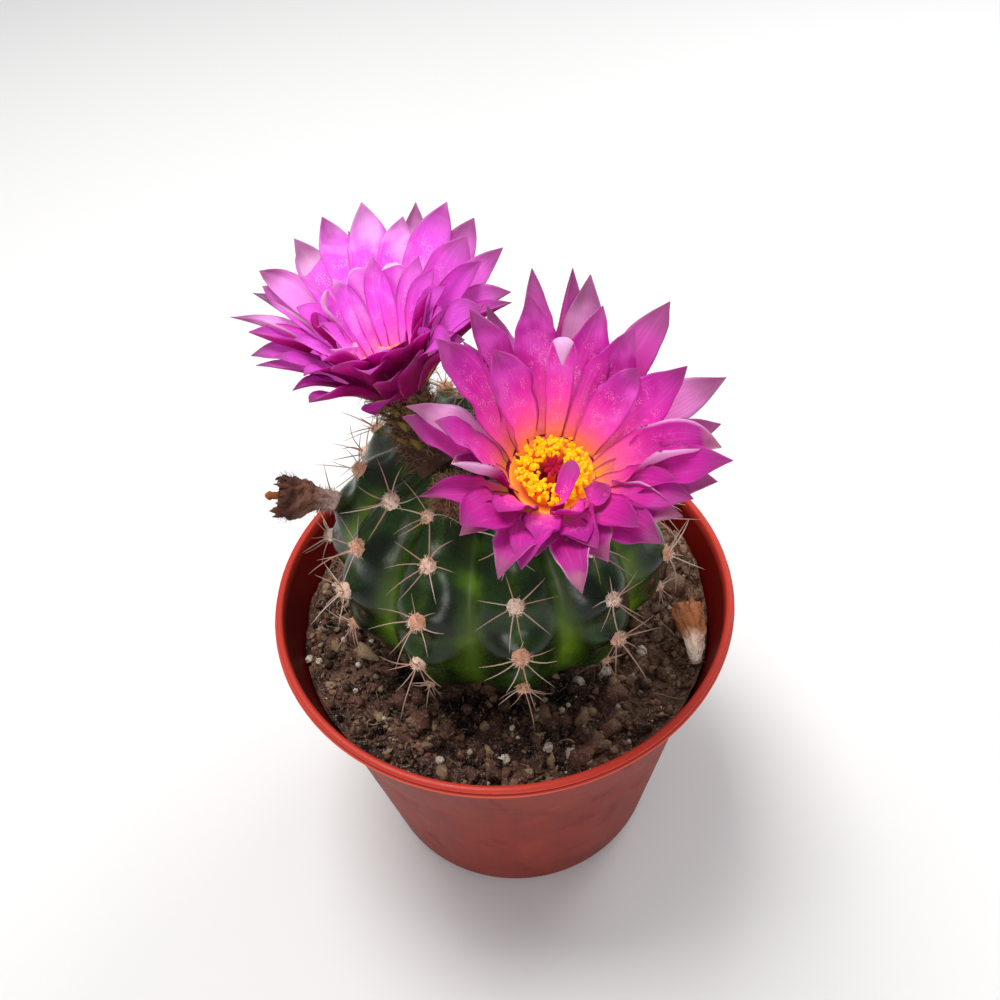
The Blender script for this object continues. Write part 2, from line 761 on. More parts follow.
@dataclass(frozen=True)
class Fibre:
    """Thin dry strands that change colour from root to tip, paler strand by strand as their tone says."""

    name: str
    root: Colour
    tip: Colour
    pale: Colour
    rough: float = 0.8

    def material(self) -> bpy.types.Material:
        """Returns the material."""
        shader = Shader(self.name)
        along, tone = shader.own("along"), shader.own("tone")
        grain = shader.noise(shader.place(), 3.0, 3)
        base = shader.coats(
            self.root,
            (along.eased(0.35, 1.0), self.tip),
            (tone.eased(0.3, 1.0) * 0.8, self.pale),
            ((grain - 0.5) * 0.5, self.root),
        )
        return shader.surface(
            Base_Color=base,
            Roughness=self.rough + 0.15 * grain,
            Specular_IOR_Level=0.3,
        )


@dataclass(frozen=True)
class CactusSkin:
    """Waxy dark green skin, with light yellow green along the grooves and a fine mottle."""

    dark: Colour = tint(9, 21, 5)
    green: Colour = tint(28, 55, 7)
    light: Colour = tint(104, 138, 28)
    grey: Colour = tint(58, 72, 42)
    cork: Colour = tint(88, 74, 48)

    def material(self) -> bpy.types.Material:
        """Returns the material."""
        shader = Shader("cactus_skin")
        spot = shader.place()
        groove, height = shader.own("groove"), shader.own("height")
        cloud, fine = shader.noise(spot, 0.12, 3, 0.5), shader.noise(spot, 1.6, 4)
        patch = shader.noise(spot, 0.12, 3, 0.3).eased(0.42, 0.72)
        middle = height.eased(0.1, 0.3) * (1 - height.eased(0.45, 0.75))
        base = shader.coats(
            self.dark,
            (cloud.eased(0.35, 0.65), self.green),
            (groove.eased(0.55, 0.98) * (0.05 + 0.3 * middle + 0.65 * patch), self.light),
            ((1 - groove).eased(0.8, 1.0) * 0.2 * fine, self.light),
            (height.eased(0.6, 1.0) * 0.25, self.grey),
            (fine.eased(0.6, 0.8) * 0.2, self.grey),
            ((1 - height).eased(0.86, 0.98) * 0.8, self.cork),
        )
        return shader.surface(
            Base_Color=base,
            Roughness=0.2 + 0.15 * fine + 0.2 * groove.eased(0.8, 1.0),
            Normal=shader.bump(fine, 0.05, 0.5),
            Specular_IOR_Level=0.29,
            Subsurface_Weight=0.08,
            Subsurface_Radius=(0.3, 0.8, 0.2),
            Subsurface_Scale=0.001,
        )


@dataclass(frozen=True)
class PetalSilk:
    """Satin petals, coloured from the throat outwards, veined, paler or darker petal by petal.

    The upper face and the underside have colours of their own. Fine pale dots dust the middle of some petals.
    """

    name: str
    stops: tuple[tuple[float, Colour], ...]
    deep: Colour
    under_foot: Colour
    under_tip: Colour
    outer: Colour
    dry: Colour
    shine: Colour
    folded: Colour
    brown: Colour
    dust: Colour
    glow: float

    def material(self) -> bpy.types.Material:
        """Returns the material."""
        shader = Shader(self.name)
        along, across, tone = shader.own("along"), shader.own("across"), shader.own("tone")
        level, under, pale = shader.own("level"), shader.own("under"), shader.own("pale")
        spot = shader.place()
        cloud = shader.noise(spot, 0.25, 3, 0.5)
        lanes = shader.noise(shader.pair(across * 5.0, along * 1.4 + tone * 40.0), 1.6, 4, 0.3)
        veins = (across * 34.0 + cloud * 5.0 + tone * 20.0).sine()
        shifted = along + (tone - 0.5) * 0.1 + (cloud - 0.5) * 0.12 + (lanes - 0.5) * 0.1
        silk = shader.noise(spot, 0.17, 2, 0.6).eased(0.42, 0.66)
        whole, papery = pale.eased(0.0, 1.0), (0 - pale).eased(0.0, 1.0)
        aside = across.size()
        seam = aside.eased(0.8, 1.0) * (1 - along).eased(0.4, 0.9)
        speck = (1 - shader.cells(spot, 4.4)).eased(0.5, 0.78) * shader.noise(spot, 0.6, 3).eased(0.46, 0.6)
        middle = (1 - aside).eased(0.1, 0.6) * (1 - (along - 0.38).size() * 2.0).eased(0.1, 0.6)
        top = shader.coats(
            shader.ramp(shifted, self.stops),
            (silk * along.eased(0.2, 0.55) * tone.eased(0.15, 1.0) * 0.6, self.shine),
            (aside.eased(0.45, 1.0) * along.eased(0.3, 0.6) * (0.4 - tone * 0.3), self.deep),
            ((1 - tone) * (1 - level * 0.6) * along.eased(0.12, 0.55) * 0.68, self.deep),
            ((1 - level).eased(0.4, 1.0) * (0.3 + tone * 0.7) * along.eased(0.25, 0.8) * 0.5, self.outer),
            (whole * along.eased(0.15, 0.6) * 0.8, self.folded),
            (seam * (1 - tone * 0.5) * 0.45, self.deep),
            (speck * middle * (level + tone).eased(0.5, 1.1) * 0.7, self.dust),
        )
        below = shader.coats(
            self.under_foot,
            (along.eased(0.5, 1.0), self.under_tip),
            ((whole + papery) * along.eased(0.4, 0.7), self.folded),
        )
        tip = (along + aside * 0.04 + (cloud - 0.5) * 0.12 + whole * 0.06).eased(0.76, 0.98)
        base = shader.coats(
            top,
            (under, below),
            (veins.eased(0.55, 1.0) * (0.03 + whole * 0.08), self.deep),
            (lanes.eased(0.5, 0.8) * (1 - under) * 0.14, self.dust),
            (papery * (1 - under) * (along + (cloud - 0.5) * 0.3).eased(0.8, 0.98) * 0.85, self.dry),
            (tip * (1 - level * 0.85) * 0.85, self.brown),
        )
        ridges = veins * 0.12 + lanes * 0.7 + speck * 0.2
        return shader.surface(
            Base_Color=base,
            Roughness=0.42 + 0.2 * lanes,
            Normal=shader.bump(ridges, 0.14, 0.45),
            Emission_Color=shader.blend(1 - (1 - under) * tone.eased(-0.35, 0.6), base, (0.0, 0.0, 0.0)),
            Emission_Strength=self.glow,
            Specular_IOR_Level=0.22,
            Subsurface_Weight=0.35,
            Subsurface_Radius=(1.0, 0.35, 0.8),
            Subsurface_Scale=0.001,
        )


@dataclass(frozen=True)
class Pollen:
    """Golden powdery anthers on orange filaments."""

    filament: Colour = tint(240, 112, 24)
    gold: Colour = tint(255, 232, 16)
    amber: Colour = tint(250, 188, 6)

    def material(self) -> bpy.types.Material:
        """Returns the material."""
        shader = Shader("pollen")
        spot = shader.place()
        grain = shader.cells(spot, 7.0)
        cloud = shader.noise(spot, 2.0, 3)
        dusted = grain.eased(0.2, 0.7) * 0.4
        gold = shader.coats(self.gold, (cloud.eased(0.4, 0.65), self.amber), (dusted, self.amber))
        base = shader.blend(shader.own("along").eased(0.6, 0.8), self.filament, gold)
        return shader.surface(
            Base_Color=base,
            Roughness=0.65 + 0.25 * cloud,
            Normal=shader.bump(1 - grain, 0.12),
            Emission_Color=base,
            Emission_Strength=0.32,
        )


@dataclass(frozen=True)
class Velvet:
    """Crimson velvety stigma lobes on a pale pink style."""

    crimson: Colour = tint(196, 12, 62)
    wine: Colour = tint(140, 6, 44)
    pink: Colour = tint(232, 120, 140)

    def material(self) -> bpy.types.Material:
        """Returns the material."""
        shader = Shader("velvet")
        nap = shader.noise(shader.place(), 6.0, 3)
        lobes = shader.blend(nap.eased(0.4, 0.65), self.crimson, self.wine)
        return shader.surface(
            Base_Color=shader.blend(shader.own("along").eased(0.2, 0.5), self.pink, lobes),
            Roughness=0.7 + 0.2 * nap,
            Normal=shader.bump(nap, 0.15),
            Emission_Color=lobes,
            Emission_Strength=0.1,
            Specular_IOR_Level=0.25,
        )


@dataclass(frozen=True)
class Husk:
    """Dull plant skin that changes colour from foot to tip, blotched and finely wrinkled."""

    name: str
    foot: Colour
    middle: Colour
    tip: Colour
    blotch: Colour
    depth: float = 0.25
    change: tuple[float, float] = (0.5, 1.0)
    blotched: float = 0.6
    glow: float = 0.0

    def material(self) -> bpy.types.Material:
        """Returns the material."""
        shader = Shader(self.name)
        spot = shader.place()
        along = shader.own("along")
        cloud, fine = shader.noise(spot, 0.5, 4, 1.0), shader.noise(spot, 3.0, 4, 0.5)
        base = shader.coats(
            self.foot,
            (along.eased(0.0, 0.45), self.middle),
            ((along + (cloud - 0.5) * 0.25).eased(*self.change), self.tip),
            (cloud.eased(0.5, 0.7) * self.blotched, self.blotch),
            ((1 - fine).eased(0.55, 0.75) * 0.35, self.blotch),
        )
        return shader.surface(
            Base_Color=base,
            Roughness=0.72 + 0.2 * fine,
            Normal=shader.bump(fine * 0.6 + cloud * 0.4, self.depth, 0.9),
            Emission_Color=base,
            Emission_Strength=self.glow,
            Specular_IOR_Level=0.3,
        )


@dataclass(frozen=True)
class StudioPaper:
    """Plain pale floor with the faintest tooth."""

    white: Colour = (0.86, 0.86, 0.86)

    def material(self) -> bpy.types.Material:
        """Returns the material."""
        shader = Shader("studio_paper")
        tooth = shader.noise(shader.place(), 0.02, 2)
        return shader.surface(Base_Color=self.white, Roughness=0.9 + 0.05 * tooth)


RIGHT_SILK = PetalSilk(
    "right_petal_silk",
    (
        (0.0, tint(255, 196, 60)),
        (0.05, tint(255, 168, 90)),
        (0.13, tint(253, 126, 116)),
        (0.24, tint(253, 96, 154)),
        (0.38, tint(248, 72, 180)),
        (0.58, tint(217, 43, 170)),
        (0.82, tint(172, 36, 148)),
        (1.0, tint(132, 44, 108)),
    ),
    deep=tint(158, 6, 116),
    under_foot=tint(140, 6, 86),
    under_tip=tint(196, 42, 152),
    outer=tint(168, 86, 144),
    dry=tint(226, 172, 164),
    shine=tint(238, 100, 214),
    folded=tint(246, 176, 228),
    brown=tint(112, 56, 88),
    dust=tint(255, 160, 204),
    glow=0.3,
)

LEFT_SILK = PetalSilk(
    "left_petal_silk",
    (
        (0.0, tint(255, 220, 60)),
        (0.05, tint(255, 176, 130)),
        (0.1, tint(255, 126, 216)),
        (0.3, tint(255, 102, 244)),
        (0.6, tint(243, 94, 238)),
        (0.84, tint(208, 88, 204)),
        (1.0, tint(164, 68, 150)),
    ),
    deep=tint(176, 4, 146),
    under_foot=tint(138, 0, 82),
    under_tip=tint(190, 14, 140),
    outer=tint(202, 112, 186),
    dry=tint(240, 176, 214),
    shine=tint(255, 190, 252),
    folded=tint(255, 196, 244),
    brown=tint(116, 58, 96),
    dust=tint(255, 206, 250),
    glow=0.38,
)


TUBE_SKIN = Husk("tube_skin", tint(78, 54, 40), tint(92, 70, 44), tint(116, 84, 58), tint(52, 34, 26))
SCALE_SKIN = Husk("scale_skin", tint(150, 138, 52), tint(132, 110, 48), tint(118, 60, 48), tint(92, 70, 40))
TUBE_WOOL = Fibre("tube_wool", tint(92, 62, 48), tint(126, 92, 72), tint(172, 134, 110))


# Placing pieces


def put_in_scene(name: str, data: bpy.types.ID) -> bpy.types.Object:
    """Returns a new object of the scene that holds the data."""
    made = bpy.data.objects.new(name, data)
    bpy.context.scene.collection.objects.link(made)
    return made


def add_piece(
    name: str, shape: Shape, material: bpy.types.Material, stands_for: Sequence[str] = ()
) -> None:
    """Makes the shape an object of the part.

    Args:
        name: The piece's name.
        shape: Its surface in millimetres.
        material: Its finish.
        stands_for: Solids that it replaces.
    """
    mesh = bpy.data.meshes.new(name)
    loops = np.concatenate([shape.quads.ravel(), shape.tris.ravel()]).astype(np.int32)
    totals = np.concatenate([np.full(len(shape.quads), 4), np.full(len(shape.tris), 3)]).astype(np.int32)
    starts = np.concatenate([[0], np.cumsum(totals)[:-1]]).astype(np.int32)
    mesh.vertices.add(len(shape.points))
    mesh.vertices.foreach_set("co", (shape.points * MM).astype(np.float32).ravel())
    mesh.loops.add(len(loops))
    mesh.loops.foreach_set("vertex_index", loops)
    mesh.polygons.add(len(totals))
    mesh.polygons.foreach_set("loop_start", starts)
    mesh.polygons.foreach_set("loop_total", totals)
    mesh.polygons.foreach_set("use_smooth", np.ones(len(totals), bool))
    for key, value in shape.values.items():
        mesh.attributes.new(key, "FLOAT", "POINT").data.foreach_set("value", value.astype(np.float32))
    mesh.update(calc_edges=True)
    mesh.validate()
    mesh.materials.append(material)
    piece = put_in_scene(name, mesh)
    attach(piece, "root")
    if stands_for:
        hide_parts(*stands_for)
    LOG.info("piece %s: %d triangles", name, 2 * len(shape.quads) + len(shape.tris))


# Pot


@dataclass
class Pot:
    """Thin moulded nursery pot with a stepped lip, a foot ring, a middle boss and six drain holes."""

    height: float = 63.6
    wall: float = 0.9
    floor: float = 1.5
    base_radius: float = 29.5
    knee_radius: float = 36.1
    knee_height: float = 41.3
    lip_radius: float = 42.5
    under_lip_radius: float = 41.5
    lip_height: float = 1.55
    recess: float = 1.5
    foot_width: float = 2.4
    boss_radius: float = 8
    edge: float = 0.5
    foot_inset: float = 0.9
    bottom_edge: float = 1.4
    lip_step: float = 0.15
    mouth_slope: float = 1.6
    drain_holes: int = 6
    drain_radius: float = 3
    drain_circle: float = 17.5
    sides: int = 240
    band: tuple[float, float] = (13.0, 22.0)

    def radius(self, height: Array | float) -> Array:
        """Returns the wall's outer radius at a height: two straight tapers that meet at the knee."""
        heights = [0, self.knee_height, self.height - self.lip_height]
        return np.interp(height, heights, [self.base_radius, self.knee_radius, self.under_lip_radius])

    def profile(self) -> tuple[Array, Array, float]:
        """Works out the pot's section but for the ring of the floor that holds the drain holes.

        Returns:
            The underside within that ring, the outline from there round the wall to the floor's upper face,
            and the height of that face. Each outline is in pairs of radius and height.
        """
        under, step = self.height - self.lip_height, self.height - self.lip_height / 2
        foot, top = self.base_radius - self.foot_inset, self.recess + self.floor
        boss, lip = self.boss_radius, self.lip_radius
        low = np.array([[0, 0], [boss, 0], [boss + self.edge, self.recess], [self.band[0], self.recess]])
        wall = [*np.linspace(8, self.knee_height, 5), *np.linspace(self.knee_height, under, 5)[1:-1]]
        high = np.array(
            [
                [self.band[1], self.recess],
                [foot - self.foot_width - self.edge, self.recess],
                [foot - self.foot_width, 0],
                [foot, 0],
                [self.radius(self.bottom_edge), self.bottom_edge],
                *[[self.radius(z), z] for z in wall],
                [self.radius(under) - 0.02, under - 0.1],
                [lip, under + 0.05],
                [lip, step - 0.35],
                [lip - 5 * self.lip_step, step - 0.1],
                [lip - 2 * self.lip_step, step + 0.1],
                [lip - 2 * self.lip_step, self.height - 0.3],
                [lip - 4 * self.lip_step, self.height],
                [lip - self.mouth_slope, self.height],
                [self.radius(under) - self.wall, under - 0.8],
                [self.radius(self.knee_height) - self.wall, self.knee_height],
                [self.radius(top + 1) - self.wall, top + 1],
                [self.radius(top) - self.wall - 1, top],
                [self.band[1], top],
            ]
        )
        return low, high, top

    def drained(self, top: float) -> tuple[Array, Array]:
        """Returns points and quads of the floor's ring with its drain holes.

        Each sector is a band of rings from its outline in the underside, in to the hole's circle, up the
        hole's wall, and out again to the outline in the floor's upper face.
        """
        inner, outer = self.band
        arc = TURN * np.arange(self.sides // self.drain_holes + 1) / self.sides - TURN / self.drain_holes / 2
        spokes = np.linspace(outer, inner, 8)[1:-1]
        polar = np.concatenate(
            [
                np.stack([0 * arc + outer, arc], -1),
                np.stack([spokes, 0 * spokes + arc[-1]], -1),
                np.stack([0 * arc + inner, arc[::-1]], -1),
                np.stack([spokes[::-1], 0 * spokes + arc[0]], -1),
            ]
        )
        outline = polar[:, :1] * on_circle(polar[:, 1])
        centre = np.array([self.drain_circle, 0])
        hole = centre + self.drain_radius * unit(outline - centre)
        stops = [(0, self.recess), (0.6, self.recess), (1, self.recess), (1, top), (0.6, top), (0, top)]
        rings = np.stack([raised(mix(outline, hole, share), z) for share, z in stops])
        turn = TURN * np.arange(self.drain_holes) / self.drain_holes
        spin = np.zeros((self.drain_holes, 3, 3))
        spin[:, 0, 0], spin[:, 1, 1], spin[:, 2, 2] = np.cos(turn), np.cos(turn), 1
        spin[:, 0, 1], spin[:, 1, 0] = -np.sin(turn), np.sin(turn)
        points = np.einsum("rpk,slk->srpl", rings, spin)
        start = np.arange(self.drain_holes)[:, None, None] * (len(stops) * len(outline))
        return points.reshape(-1, 3), (bands(len(stops), len(outline)) + start).reshape(-1, 4)

    def shape(self) -> Shape:
        """Returns the whole pot as one closed surface, marked where it is inside, lip and rubbed edge."""
        low, high, top = self.profile()
        middle = np.array([[self.band[0], top], [0, top]])
        outlines = [rounded(low, 0.3), rounded(high, 0.4), middle]
        sides = self.sides
        sheets = [(turned(line, sides).reshape(-1, 3), bands(len(line), sides)) for line in outlines]
        shell = welded([*sheets, self.drained(top)])
        height, radius = shell.points[:, 2], np.hypot(shell.points[:, 0], shell.points[:, 1])
        under, step = self.height - self.lip_height, self.height - self.lip_height / 2
        inside = (radius < self.radius(height) - self.wall / 2) & (height > self.recess + 0.1)
        outer = radius > self.under_lip_radius - 0.1
        sunk = (self.lip_radius - radius) * (height < self.height - 0.6) * outer
        lip = ease(height, under - 0.6, under) * (1 - 0.7 * ease(sunk, 0.3, 0.55))
        beads = np.array([under + 0.3, step + 0.2])
        edge = np.exp(-(((height[:, None] - beads) / 0.12) ** 2)).sum(1) * outer * (sunk < 0.45)
        shell.values = {"inside": inside.astype(float), "lip": lip, "edge": edge}
        return shell

    def build(self) -> None:
        """Makes the pot."""
        add_piece("pot_shell", self.shape(), PotPlastic().material(), ["pot"])


# Soil


@dataclass
class SoilBed:
    """Peat mix that fills the pot: a lumpy bed, crumbs, white grains and fine roots on it."""

    pot: Pot
    body: "CactusBody"
    top: float = 54.6
    lump: float = 1.1
    hollow_radius: float = 15.7
    level_within: float = 17
    full_from: float = 23
    sides: int = 330
    rings: int = 62
    crumbs: int = 2600
    clods: int = 300
    roots: int = 2200
    tiny_grains: int = 110
    clear_of_wall: float = 1.9
    chip: tuple[float, float] = (14.1, -30.6)
    white_grains: tuple[Triple, ...] = (
        (-37.2, -7.0, 1.0), (-35.3, -8.1, 0.9), (-18.0, -17.1, 0.8), (-13.4, -30.2, 0.9), (-8.1, -29.2, 0.7),
        (-2.5, -31.5, 1.2), (5.3, -30.6, 1.1), (8.9, -31.6, 1.3), (8.5, -22.8, 0.7), (5.6, -20.3, 0.7),
        (12.2, -16.4, 1.3), (17.3, -16.0, 1.0), (24.3, -12.4, 1.2), (22.9, -20.2, 0.7),
    )

    def surface(self, x: Array, y: Array) -> Array:
        """Returns the height of the soil: slow waves, clods and crumbs that die out under the body.

        A mound stands at the right, and a trench follows the front of the body.
        """
        out = np.hypot(x - self.body.centre[0], y - self.body.centre[1])
        inward = np.clip((out - self.level_within) / (self.full_from - self.level_within), 0, 1)
        waves = np.sin(0.55 * x + 1.3) * np.cos(0.48 * y - 0.4) + 0.6 * np.sin(0.9 * x - 0.7 * y + 2)
        clods = 0.55 * np.abs(patches(0.33 * x, 0.33 * y, 3.1)) + 0.35 * patches(0.8 * x + 9, 0.8 * y, 5.7)
        crumbs = 0.22 * patches(1.9 * x, 1.9 * y + 4, 8.3)
        mound = 4.2 * np.exp(-((x - 35) ** 2 + (y - 8) ** 2) / 70)
        trench = 1.8 * np.exp(-(((out - 21.5) / 2.2) ** 2)) * (1 - ease(y, -4, 8))
        fine = self.lump * 0.4 * waves + 1.4 * clods + 1.6 * crumbs
        return self.top + inward * (fine - 0.5 + mound - trench)

    def laid(self, flat: Array, above: Array | float = 0.0) -> Array:
        """Returns x and y pairs as points on the surface, or so much above it."""
        return raised(flat, self.surface(flat[..., 0], flat[..., 1]) + above)

    def bed(self) -> Shape:
        """Returns the bed: rings up the pot's wall, in over the surface and down round the body's root."""
        round_about = from_front(TURN * np.arange(self.sides) / self.sides)
        bottom = self.pot.recess + self.pot.floor + GAP
        clear = self.pot.wall + GAP
        heights = np.array([bottom, bottom + 1, self.pot.knee_height, self.top - 1.5])
        radii = self.pot.radius(np.maximum(heights, bottom + 1)) - clear - np.array([1.2, 0, 0, 0])
        walls = raised(radii[:, None, None] * round_about, heights[:, None])
        body = self.body
        centre = np.array(body.centre[:2])
        rim = (self.pot.radius(self.top) - clear) * round_about
        hollow = centre + self.hollow_radius * round_about
        surface = self.laid(mix(rim, hollow, np.linspace(0, 1, self.rings)[:, None, None]))
        hole = [raised(centre + (radius + 2 * GAP) * round_about, height)[None] for radius, height in
                ((body.neck_radius, body.neck_top - GAP), (body.root_radius, body.root_middle))]
        rings = np.concatenate([walls, surface, *hole])[None]
        ends = (np.array([[0, 0, bottom]]), np.array([[*centre, body.root_tip - 3 * GAP]]))
        tone = 0.5 + 0.5 * patches(0.25 * rings[..., 0], 0.25 * rings[..., 1], 21.0)
        return loft(rings, {"tone": tone, "along": tone * 0}, ends)

    def scattered(self, count: int, seed: float, inner: float = 15.5) -> Array:
        """Returns places on the surface between the body and the pot's wall, one row each."""
        index = np.arange(count)
        round_about = on_circle(TURN * chance(index, seed))
        low = np.array(self.body.centre[:2]) + inner * round_about
        high = (self.pot.radius(self.top) - self.clear_of_wall) * round_about
        return self.laid(mix(low, high, np.sqrt(chance(index, seed + 1))[:, None]))

    def crumb_shape(self, count: int, small: float, large: float, seed: float, detail: int) -> Shape:
        """Scatters lumps half sunk in the surface, most of them near the small size.

        Args:
            count: How many.
            small: Smallest half extent.
            large: Largest half extent.
            seed: Picks the random numbers.
            detail: How finely each lump is cut.

        Returns:
            All the lumps as one shape.
        """
        index = np.arange(count)[:, None]
        size = mix(small, large, chance(index, seed + 4) ** 3)
        sizes = size * mix(0.35, 1.25, chance(index, seed + np.array([5.0, 6.0, 7.0])))
        places = self.scattered(count, seed)
        inward = unit((np.array(self.body.centre) - places) * [1, 1, 0])
        return lumps(places + 0.3 * size * (inward + UP), sizes, 0.4, seed, detail)

    def grain_shape(self) -> Shape:
        """Returns the white grains: the named ones and a sprinkling of tiny ones."""
        named = np.array(self.white_grains)
        tiny = self.scattered(self.tiny_grains, 61.0)
        tiny_radius = mix(0.2, 0.62, chance(np.arange(len(tiny)), 63.0) ** 2)
        shapes = []
        for flat, radius, detail in ((named[:, :2], 0.85 * named[:, 2], 2), (tiny[:, :2], tiny_radius, 1)):
            share = chance(np.arange(len(radius))[:, None], np.array([64.0, 65.0, 66.0]))
            sizes = radius[:, None] * mix(0.8, 1.1, share)
            shapes.append(lumps(self.laid(flat, 0.45 * radius), sizes, 0.2, 67.0, detail))
        return Shape.joined(shapes)

    def root_shape(self) -> Shape:
        """Returns fine roots that wander over the surface and arch a little above it."""
        index = np.arange(self.roots)
        share = np.linspace(0, 1, 7)
        start = self.scattered(self.roots, 71.0, 17.5)
        heading = TURN * chance(index, 73.0)[:, None] + 0.5 * jitter(index, 74.0)[:, None] * share
        heading = heading + 0.22 * np.sin(TURN * (1.5 * share + chance(index, 75.0)[:, None]))
        step = mix(0.9, 7.0, chance(index, 76.0) ** 4)[:, None, None] / (len(share) - 1)
        flat = start[:, None, :2] + np.cumsum(step * on_circle(heading), 1)
        reach = self.pot.radius(self.top) - self.clear_of_wall
        flat = flat * np.minimum(1, reach / np.hypot(flat[..., :1], flat[..., 1:]))
        arch = mix(0.1, 1.3, chance(index, 77.0) ** 3)[:, None] * np.sin(np.pi * share)
        radii = mix(0.04, 0.17, chance(index, 78.0) ** 3)[:, None] * (1 - 0.5 * share)
        values = {"along": share, "tone": chance(index, 79.0)[:, None]}
        return strands(self.laid(flat, 0.12 + arch), radii, 3, values)

    def build(self) -> None:
        """Makes the bed and what lies on it."""
        add_piece("soil_bed", self.bed(), Peat().material(), ["soil"])
        crumb = Peat(name="peat_crumbs", brown=tint(134, 94, 78)).material()
        small = self.crumb_shape(self.crumbs, 0.3, 1.15, 31.0, 0)
        large = self.crumb_shape(self.clods, 0.8, 2.3, 41.0, 1)
        add_piece("soil_crumbs", Shape.joined([small, large]), crumb)
        add_piece("white_grains", self.grain_shape(), Perlite().material())
        chip = lumps(self.laid(np.array([self.chip]), 0.5), np.array([[1.3, 0.9, 0.7]]), 0.3, 81.0, 3)
        bark = Peat(tint(120, 60, 44), tint(196, 120, 96), tint(176, 104, 84), name="bark_chip")
        add_piece("bark_chip", chip, bark.material())
        fibre = Fibre("root_fibre", tint(88, 64, 52), tint(126, 100, 78), tint(190, 168, 142))
        add_piece("fine_roots", self.root_shape(), fibre.material())


# Cactus body


@dataclass
class CactusBody:
    """The ribbed round body with its taproot, its woolly areoles and its spines."""

    centre: Triple = (0.2, 2, 75.5)
    radius: float = 29.3
    half_height: float = 24.3
    ribs: int = 11
    first_rib: float = 3.3
    groove: float = 2.8
    valley: float = 0.14
    lowest_row: float = -60
    neck_radius: float = 7
    neck_top: float = 50.5
    root_radius: float = 3.2
    root_middle: float = 40
    root_tip: float = 30
    areole_first: float = 28.6
    rib_shift: float = 9.32
    spacing: float = 20.5
    areole_lowest: float = -30
    areole_highest: float = 74
    pushed: tuple[float, float, float, float] = (-1, 58, -40, 54.5)
    spine_radius: float = 0.115
    spine_sunk: float = 0.5
    spine_length: float = 7.4
    central_length: float = 9
    lean: float = 66
    central_lean: float = 30
    central_turn: float = 172
    laid_flatter: float = 12
    around: tuple[float, ...] = (-2, 43, -64, 77, -106, 139, -154)
    points_per_rib: int = 26
    rows: int = 116
    wool_hairs: int = 100
    crown_hairs: int = 560

    def rib_turn(self, azimuth: Array) -> tuple[Array, Array]:
        """Returns each azimuth's rib, counted from the front, and how far it is from the crest, 0 to 1."""
        phase = (np.asarray(azimuth) - self.first_rib) / 360 * self.ribs
        nearest = np.round(phase)
        return nearest, np.abs(phase - nearest) * 2

    def skin(self, azimuth: Array, latitude: Array, lift: Array | float = 0.0) -> tuple[Array, Array]:
        """Works out the skin.

        A flattened ball is sunk by the groove's depth, which grows as a power of the distance from the crest
        and fades low down, and swells a little round each areole. A hyperbola rounds the groove's bottom.

        Args:
            azimuth: Degrees from the front towards +X.
            latitude: Degrees up from the equator.
            lift: Distance above the skin.

        Returns:
            Points of the skin, and the ball's normals there.
        """
        turn, climb = np.radians(azimuth), np.radians(latitude)
        rib, off_crest = self.rib_turn(azimuth)
        blunt = np.hypot(1 - off_crest, self.valley) - self.valley
        sunk = 1 - blunt / (np.hypot(1, self.valley) - self.valley)
        depth = self.groove * np.sqrt(np.maximum(np.cos(climb), 0)) * np.maximum(sunk, 0) ** 2.6
        depth = depth * (1 - 0.6 * ease(-latitude, 8, 40))
        place = (latitude - self.areole_first - self.rib_shift * rib) / self.spacing
        swell = 0.8 * np.cos(TURN * place) * (1 - off_crest) ** 1.5 * np.cos(climb)
        out, up = np.cos(climb)[..., None] * from_front(turn), np.sin(climb)
        normal = unit(raised(out / self.radius, up / self.half_height))
        point = raised(self.radius * out, self.half_height * up) + self.centre
        return point + normal * (lift + swell - depth)[..., None], normal

    def shape(self) -> Shape:
        """Returns the skin from the crown down, drawn in under the soil to the taproot's tip."""
        sides = self.ribs * self.points_per_rib
        azimuth = self.first_rib + 360 * np.arange(sides)[None] / sides
        latitude = np.linspace(88.5, self.lowest_row, self.rows)[:, None]
        azimuth, latitude = np.broadcast_arrays(azimuth, latitude)
        centre = np.array(self.centre)
        radii = np.array([self.neck_radius, 4.6, self.root_radius, 1.4])[:, None, None]
        heights = np.array([self.neck_top, 45.5, self.root_middle, 33.0])[:, None]
        roots = raised(centre[:2] + radii * from_front(np.radians(azimuth[:1])), heights)
        rings = np.concatenate([self.skin(azimuth, latitude)[0], roots])
        fill = np.zeros((4, sides))
        groove = np.concatenate([self.rib_turn(azimuth)[1], fill])
        height = np.concatenate([(latitude - self.lowest_row) / 150, fill])
        ends = (centre[None] + (self.half_height - 0.35) * UP, np.array([[*centre[:2], self.root_tip]]))
        return loft(rings[None], {"groove": groove, "height": height}, ends)

    def areoles(self) -> Array:
        """Returns azimuth and latitude of every areole, each rib's row shifted to form a spiral."""
        rows = []
        for rib in range(self.ribs):
            turn = rib - self.ribs if rib > self.ribs / 2 else rib
            phase = self.areole_first + self.rib_shift * turn
            start = phase - self.spacing * np.floor((phase - self.areole_lowest) / self.spacing)
            latitudes = np.arange(start, self.areole_highest, self.spacing)
            azimuth = self.first_rib + 360 * turn / self.ribs
            rows.append(np.stack([0 * latitudes + azimuth, latitudes], -1))
            if turn == self.pushed[0]:
                rows[-1][latitudes > self.pushed[1]] = self.pushed[2:]
        return np.concatenate(rows)

    def growth(self, latitude: Array) -> Array:
        """Returns the size of an areole and its spines as a share: low ones stay small."""
        return mix(0.45, 1.0, ease(latitude, -34, 4))

